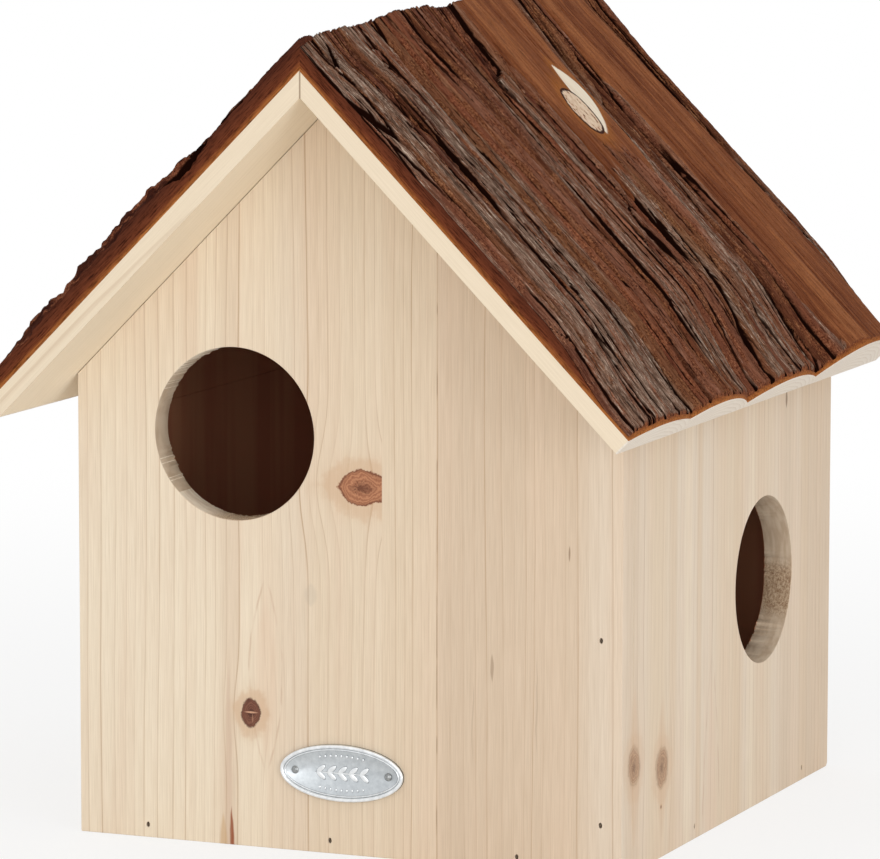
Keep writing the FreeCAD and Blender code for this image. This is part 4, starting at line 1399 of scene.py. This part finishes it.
    def scar(self, y, s):
        """Distance inside the pale crescent of the sawn-off branch, and how far out in the branch's oval."""
        (top_y, top_s), (low_y, low_s) = SCAR_TIPS
        share = np.clip((s - top_s) / (low_s - top_s), 0, 1)
        swell = 4 * share * (1 - share)
        chord = ROOF_FRONT + top_y + (low_y - top_y) * share
        beyond = np.maximum(np.maximum(top_s - s, s - low_s), 0)
        inside = np.minimum(y - chord + 2.0 * swell, chord + SCAR_WIDE * swell ** 0.85 - y) - beyond
        wobble = 0.14 * self.swing(41, y / 6, s / 8)
        away = np.hypot((y - ROOF_FRONT - BRANCH[0]) / BRANCH_HALF[0], (s - BRANCH[1]) / BRANCH_HALF[1])
        return inside, away + wobble

    def surface(self, y, s, flat):
        """Height of the bark over the slope, with the masks of its material; flat is the height of its
        flats."""
        rough, crack_dark_and_shade, tone, hue = self.rough(y, s)
        smooth, line, streak = self.smooth(y, s)
        peel = self.peeled(y, s)
        furrow = self.furrows(y, s)
        groove = self.groove(y, s)
        worn = self.worn(y, s, flat)
        height = flat + (rough * (1 - peel) + smooth * peel) * worn
        height = height - (furrow + groove) * (0.1 + 0.9 * worn) - 0.3
        # Dark of the cracks, furrows and joints: partly the crevices' own colour, partly painted shade deep in
        # them
        dark = np.maximum(crack_dark_and_shade * (1 - peel) + line * peel, np.maximum(furrow / 2.6, groove / 2.8) ** 1.5)
        shade = self.square_cut(y)
        tone = np.clip(tone * (1 - peel) + streak * peel, 0, 1) * (1 - 0.8 * shade)
        weather = self.grey - 0.5 + 1.1 * self.swing(61, y / 7, s / 90) + 0.9 * (tone - 0.5) - 1.5 * shade
        masks = {
            "crack_dark_and_shade": np.clip(dark, 0, 1), "tone": tone, "hue": hue, "peel": peel,
            "weather": smooth_step(weather, -0.15, 0.3), "scar": np.zeros_like(y), "branch": np.zeros_like(y),
            "glow": np.zeros_like(y)
        }
        if self.slab.side > 0 and self.slab.number == SCAR_SLAB:
            inside, away = self.scar(y, s)
            level = np.maximum(smooth_step(inside, -1.5, 0.5), 1 - smooth_step(away, 0.95, 1.2))
            height = height * (1 - level) + (SCAR_HEIGHT - 0.5 * np.clip(away - 0.7, 0, 1)) * level
            masks["scar"] = smooth_step(inside, -0.3, 0.3)
            masks["branch"] = np.clip(1.2 - away, 0, 1)
            masks["crack_dark_and_shade"] = masks["crack_dark_and_shade"] * (1 - level)
            masks["glow"] = 1 - smooth_step(np.minimum(-inside / 12.0, away - 1.0), 0.0, 0.8)
        height = np.clip(height, self.slab.wood_height(y) + LEAST_BARK, ROOF_TOP)
        return height, masks

    def ends(self, y, n):
        """s at the ridge's upright cut and at the eave's bevelled one, for a height n over the slope."""
        square = self.square_cut(y)
        bevel = math.tan(BARK_BEVEL) * (1 - square) + square
        return -n * math.tan(PITCH), SLOPE - (n - self.slab.wood_height(y)) * bevel

    def grid(self):
        """Places and heights of the surface's points: rows down the slope, then over the eave's bevel. Gives
        how far down the rows each point lies, too."""
        columns = round((self.slab.y1 - self.slab.y0) / COLUMN_PITCH)
        rows = round((SLOPE + ROOF_TOP) / ROW_PITCH)
        across, down = np.meshgrid(np.linspace(0, 1, columns + 1), np.linspace(0, 1, rows + 1))
        top = np.minimum(down / TOP_SHARE, 1)
        fold = np.clip((down - TOP_SHARE) / (1 - TOP_SHARE), 0, 1)
        y = self.slab.y0 + across * (self.slab.y1 - self.slab.y0)
        flat = self.slab.bark_height(y)
        for settling in range(3):     # the heights and the slab's edges depend on each other
            ridge, eave = self.ends(y, flat)
            s = ridge + (eave - ridge) * top
            y0 = self.slab.y0 + self.joint(s, -1)
            y1 = self.slab.y1 + self.joint(s, 0)
            y = y0 + (y1 - y0) * across
            flat = self.base(y, s)
        n, masks = self.surface(y, s, flat)
        true_ridge, true_eave = self.ends(y, n)
        s = s + (true_ridge - ridge) * (1 - smooth_step(top, 0.0, 0.15))
        s = s + (true_eave - eave) * smooth_step(top, 0.85, 1.0)
        band = BAND + 1.4 * self.noise(72)(y / 9, np.full_like(y, 0.5)) ** 2
        lip = np.minimum(self.slab.wood_height(y) + band, n)
        s = s + (self.ends(y, lip)[1] - s) * fold ** 0.75
        n = n + (lip - n) * fold ** 1.6
        masks["broken"] = fold
        return y, s, n, down, masks

    def piece(self):
        """The surface as a grid, its rim drawn down to the wood and closed underneath."""
        y, s, n, down, masks = self.grid()
        rows, columns = y.shape
        bpy.ops.object.select_all(action="DESELECT")
        bpy.ops.mesh.primitive_grid_add(x_subdivisions=columns - 1, y_subdivisions=rows - 1, size=1.0)
        piece = settle(bpy.context.object, f"{self.slab.name}_bark_{self.slab.number}")
        put_points(piece, on_slope(self.slab.side, y, s, n).reshape(-1, 3))
        store(piece, "down", down.ravel())
        surface = y.size
        with editing(piece):
            bpy.ops.mesh.region_to_loop()
            bpy.ops.mesh.extrude_region_move(TRANSFORM_OT_translate={"value": (0, 0, 0)})
            bpy.ops.mesh.edge_face_add()
        place = off_slope(self.slab.side, points_of(piece))
        down = np.empty(len(place))
        piece.data.attributes["down"].data.foreach_get("value", down)
        wood = self.slab.wood_height(place[surface:, 0])
        ridge, eave = self.ends(place[surface:, 0], wood)
        place[surface:, 1] = ridge + (eave - EAVE_RECESS - ridge) * down[surface:]
        place[surface:, 2] = wood
        put_points(piece, on_slope(self.slab.side, place[:, 0], place[:, 1], place[:, 2]))
        with editing(piece):
            bpy.ops.mesh.normals_make_consistent(inside=False)
        rim = np.zeros(len(place) - surface)
        for name, values in masks.items():
            store(piece, name, np.concatenate([values.ravel(), rim]))
        store(piece, "rise", place[:, 2] - self.slab.wood_height(place[:, 0]))
        shift = 500.0 * (self.slab.number + 4 * (self.slab.side > 0))
        store(piece, "grain", np.stack([place[:, 0] + shift, place[:, 2], place[:, 1]], 1))
        dress(piece, outer_bark, "bark", self.slab.bark_node)
        piece.data.materials.append(sawn_bark)
        self.mark_faces(piece, surface)
        return piece

    def mark_faces(self, piece, surface):
        """The surface is smooth bark; the rim's faces are flat and sawn."""
        polygons = piece.data.polygons
        starts = np.empty(len(polygons), int)
        polygons.foreach_get("loop_start", starts)
        corners = np.empty(len(piece.data.loops), int)
        piece.data.loops.foreach_get("vertex_index", corners)
        sawn = np.maximum.reduceat(corners, starts) >= surface
        polygons.foreach_set("material_index", sawn.astype(int))
        polygons.foreach_set("use_smooth", ~sawn)
        piece.data.update()


def outer_bark_material():
    """Bark from outside: brown and weathered plates, silky inner bark, black cracks partly of painted shade,
    and the branch's scar.
    """
    material, t, shader = new_material("outer_bark")
    grain = t.attribute("grain", out=1)
    masks = ("crack_dark_and_shade", "tone", "hue", "peel", "weather", "scar", "branch", "glow", "broken")
    crack_dark_and_shade, tone, hue, peel, weather, scar, branch, glow, broken = [t.attribute(name, out=2) for name in masks]
    fibre = t.noise(t.stretch(grain, 0.4, 1.0, 9), detail=5.0, roughness=0.75)
    thread = t.noise(t.stretch(grain, 0.9, 2.0, 28), detail=4.0, roughness=0.7)
    streak = t.noise(t.stretch(grain, 2.2, 4.0, 50), detail=4.0, roughness=0.6)
    grit = t.noise(t.stretch(grain, 0.8, 0.8, 1.0), detail=4.0, roughness=0.8)
    flake = t.noise(t.stretch(grain, 4.5, 6.0, 16), detail=3.0, roughness=0.65)
    mottle = streak * 0.3 + thread * 0.2
    mottle = tone * 0.5 + mottle
    brown = t.ramp(
        mottle,
        (0.3, 64, 30, 19), (0.43, 110, 63, 44), (0.54, 136, 86, 62), (0.68, 166, 117, 91)
    )
    flaky = t.ramp(
        grit * 0.75 + flake * 0.25,
        (0.38, 60, 28, 17), (0.47, 112, 63, 42), (0.55, 144, 90, 62), (0.67, 192, 138, 102)
    )
    brown = t.mix(t.smooth(flake, 0.44, 0.56), brown, flaky)
    tint = t.ramp(
        hue, (0.0, 218, 226, 250), (0.35, 255, 220, 208), (0.65, 226, 244, 220),
        (1.0, 255, 250, 224)
    )
    brown = t.mix(0.45, brown, tint, mode="MULTIPLY")
    grey = t.ramp(
        fibre * 0.6 + thread * 0.4,
        (0.36, 64, 44, 35), (0.46, 122, 95, 79), (0.54, 152, 125, 108), (0.68, 192, 168, 148)
    )
    rough = t.mix(weather * t.smooth(streak, 0.36, 0.56), brown, grey)
    silver = weather * t.smooth(fibre, 0.57, 0.66)
    rough = t.mix(silver * 0.7, rough, srgb(216, 198, 178))
    silk = tone * 0.3 + fibre * 0.2
    silk = streak * 0.5 + silk
    inner = t.ramp(silk, (0.34, 100, 51, 28), (0.48, 136, 79, 48), (0.62, 162, 102, 64))
    fleck = t.smooth(thread, 0.42, 0.34) * t.smooth(flake, 0.42, 0.6)
    inner = t.mix(fleck * 0.85, inner, srgb(64, 32, 20))
    colour = t.mix(peel, rough, inner)
    colour = t.mix(glow * 0.75, colour, srgb(172, 106, 52))
    light = t.ramp(fibre, (0.34, 144, 136, 130), (0.47, 220, 217, 215), (0.6, 255, 255, 255))
    colour = t.mix(peel * -0.3 + 0.9, colour, light, mode="MULTIPLY")
    speck = t.ramp(grit, (0.34, 140, 128, 120), (0.46, 255, 255, 255))
    colour = t.mix(0.6, colour, speck, mode="MULTIPLY")
    chipped = t.ramp(grit, (0.38, 66, 32, 21), (0.5, 118, 64, 40), (0.62, 164, 102, 62))
    end = (fibre - 0.5) * 0.8 + broken
    colour = t.mix(t.smooth(end, 0.25, 0.75), colour, chipped)
    # The cracks go near black: partly their own dark, partly painted shade
    ragged = (fibre - 0.5) * 0.5 + crack_dark_and_shade
    split = t.smooth(ragged, 0.27, 0.6)
    colour = t.mix(split, colour, srgb(24, 9, 5))
    wood = t.mix(t.smooth(streak, 0.4, 0.7), srgb(243, 231, 211), srgb(232, 212, 184))
    colour = t.mix(scar, colour, wood)
    blot = t.noise(t.stretch(grain, 2.0, 2.0, 3.0), detail=4.0, roughness=0.65)
    heart = t.ramp(
        blot,
        (0.35, 96, 50, 34), (0.39, 176, 126, 96), (0.44, 214, 184, 156), (0.66, 232, 210, 184)
    )
    frayed = (blot - 0.5) * 0.3 + branch
    heart = t.mix(t.smooth(frayed, 0.3, 0.38), srgb(62, 30, 19), heart)
    colour = t.mix(t.smooth(branch, 0.17, 0.22), colour, heart)
    t.feed(shader["Base Color"], colour)
    t.feed(shader["Roughness"], fibre * 0.2 + 0.7)
    t.feed(shader["Specular IOR Level"], split * -0.05 + 0.05)
    height = fibre + grit * 0.8
    t.feed(shader["Normal"], bump(t, height, 0.9, 0.5))
    return material


def sawn_bark_material():
    """Cut bark: a thin orange layer next to the wood, red-brown over it and dark under the rough outside."""
    material, t, shader = new_material("sawn_bark")
    grain = t.attribute("grain", out=1)
    rise = t.attribute("rise", out=2)
    layer = t.noise(t.stretch(grain, 8, 0.8, 26), detail=3.0, roughness=0.6)
    speck = t.noise(t.stretch(grain, 0.8, 0.6, 7), detail=4.0, roughness=0.75)
    height = (layer - 0.5) * 3.0 + rise
    colour = t.ramp(
        height / 10.0,
        (0.0, 178, 112, 58), (0.13, 148, 86, 46), (0.26, 112, 58, 35), (0.9, 78, 40, 28)
    )
    light = t.ramp(speck, (0.36, 120, 106, 98), (0.48, 226, 220, 216), (0.62, 255, 255, 255))
    colour = t.mix(0.9, colour, light, mode="MULTIPLY")
    t.feed(shader["Base Color"], colour)
    shader["Roughness"].default_value = 0.8
    shader["Specular IOR Level"].default_value = 0.05
    t.feed(shader["Normal"], bump(t, layer + speck, 0.7, 0.4))
    return material


outer_bark = outer_bark_material()
sawn_bark = sawn_bark_material()

for name in SIDES:
    for number in range(1, len(BARK[name]) + 1):
        slab = Slab(name, number)
        slab.wood()
        Bark(slab).piece()


# Stage: a pale floor and a white surround

BOX_MIDDLE = Vector((0, 0, 0.16))     # metres
ROOM_LIGHT = 0.81
LAMPS = [                             # place and size in metres, and watts
    ("key_lamp", (0.5, -2.1, 0.5), 0.9, 7.0),
    ("fill_lamp", (1.7, -1.2, 0.4), 0.8, 7.3),
]


def stage_floor():
    """A wide paper floor that fades to white away from the box and keeps the box's shadow."""
    bpy.ops.object.select_all(action="DESELECT")
    bpy.ops.mesh.primitive_circle_add(vertices=96, radius=12.0, fill_type="NGON")
    floor = settle(bpy.context.object, "studio_floor")
    material, t, shader = new_material("studio_paper")
    shader["Base Color"].default_value = srgb(246, 246, 245)
    shader["Roughness"].default_value = 0.9
    shader["Specular IOR Level"].default_value = 0.1
    paper = Value(t, material.node_tree.nodes["Principled BSDF"].outputs[0])
    distance = t.add("VectorMath", {0: t.place()}, out=1, operation="LENGTH")
    far = t.smooth(distance, 0.25, 1.1) * 0.3 + 0.7
    white = t.add("Emission", {"Color": (1, 1, 1, 1), "Strength": 1.0})
    mixed = t.add("MixShader", {0: t.seen() * far, 1: paper, 2: white})
    t.feed(material.node_tree.nodes["Material Output"].inputs["Surface"], mixed)
    floor.data.materials.append(material)


def surround(strength):
    """Even light from all round, white where the camera sees it."""
    world = bpy.data.worlds.new("studio")
    world.use_nodes = True
    bpy.context.scene.world = world
    t = Tree(world.node_tree)
    light = t.add("Background", {"Color": (1.0, 1.0, 1.0, 1.0), "Strength": strength})
    white = t.add("Background", {"Color": (1.0, 1.0, 1.0, 1.0), "Strength": 1.0})
    mixed = t.add("MixShader", {0: t.seen(), 1: light, 2: white})
    t.feed(world.node_tree.nodes["World Output"].inputs["Surface"], mixed)


def softbox(name, place, size, watts):
    """A square lamp that faces the box's middle; the place is in metres."""
    lamp = bpy.data.lights.new(name, "AREA")
    lamp.shape = "SQUARE"
    lamp.size = size
    lamp.energy = watts
    holder = bpy.data.objects.new(name, lamp)
    holder.location = place
    aim = BOX_MIDDLE - Vector(place)
    holder.rotation_euler = aim.to_track_quat("-Z", "Y").to_euler()
    bpy.context.scene.collection.objects.link(holder)


def camera():
    lens = bpy.data.cameras.new("camera")
    lens.sensor_fit = "HORIZONTAL"
    lens.sensor_width = SENSOR_WIDTH
    lens.lens = FOCAL_PX * SENSOR_WIDTH / PHOTO_WIDTH_PX
    lens.clip_end = 50.0
    holder = bpy.data.objects.new("camera", lens)
    back = Vector((
        math.sin(AZIMUTH) * math.cos(ELEVATION), -math.cos(AZIMUTH) * math.cos(ELEVATION), math.sin(ELEVATION)
    ))
    turn = back.to_track_quat("Z", "Y").to_matrix().to_4x4() @ Matrix.Rotation(ROLL, 4, "Z")
    holder.matrix_world = Matrix.Translation((TARGET + back * DISTANCE) * MM) @ turn
    bpy.context.scene.collection.objects.link(holder)
    bpy.context.scene.camera = holder


stage_floor()
surround(ROOM_LIGHT)
for name, place, size, watts in LAMPS:
    softbox(name, place, size, watts)
camera()
bpy.context.scene.view_settings.view_transform = "Standard"
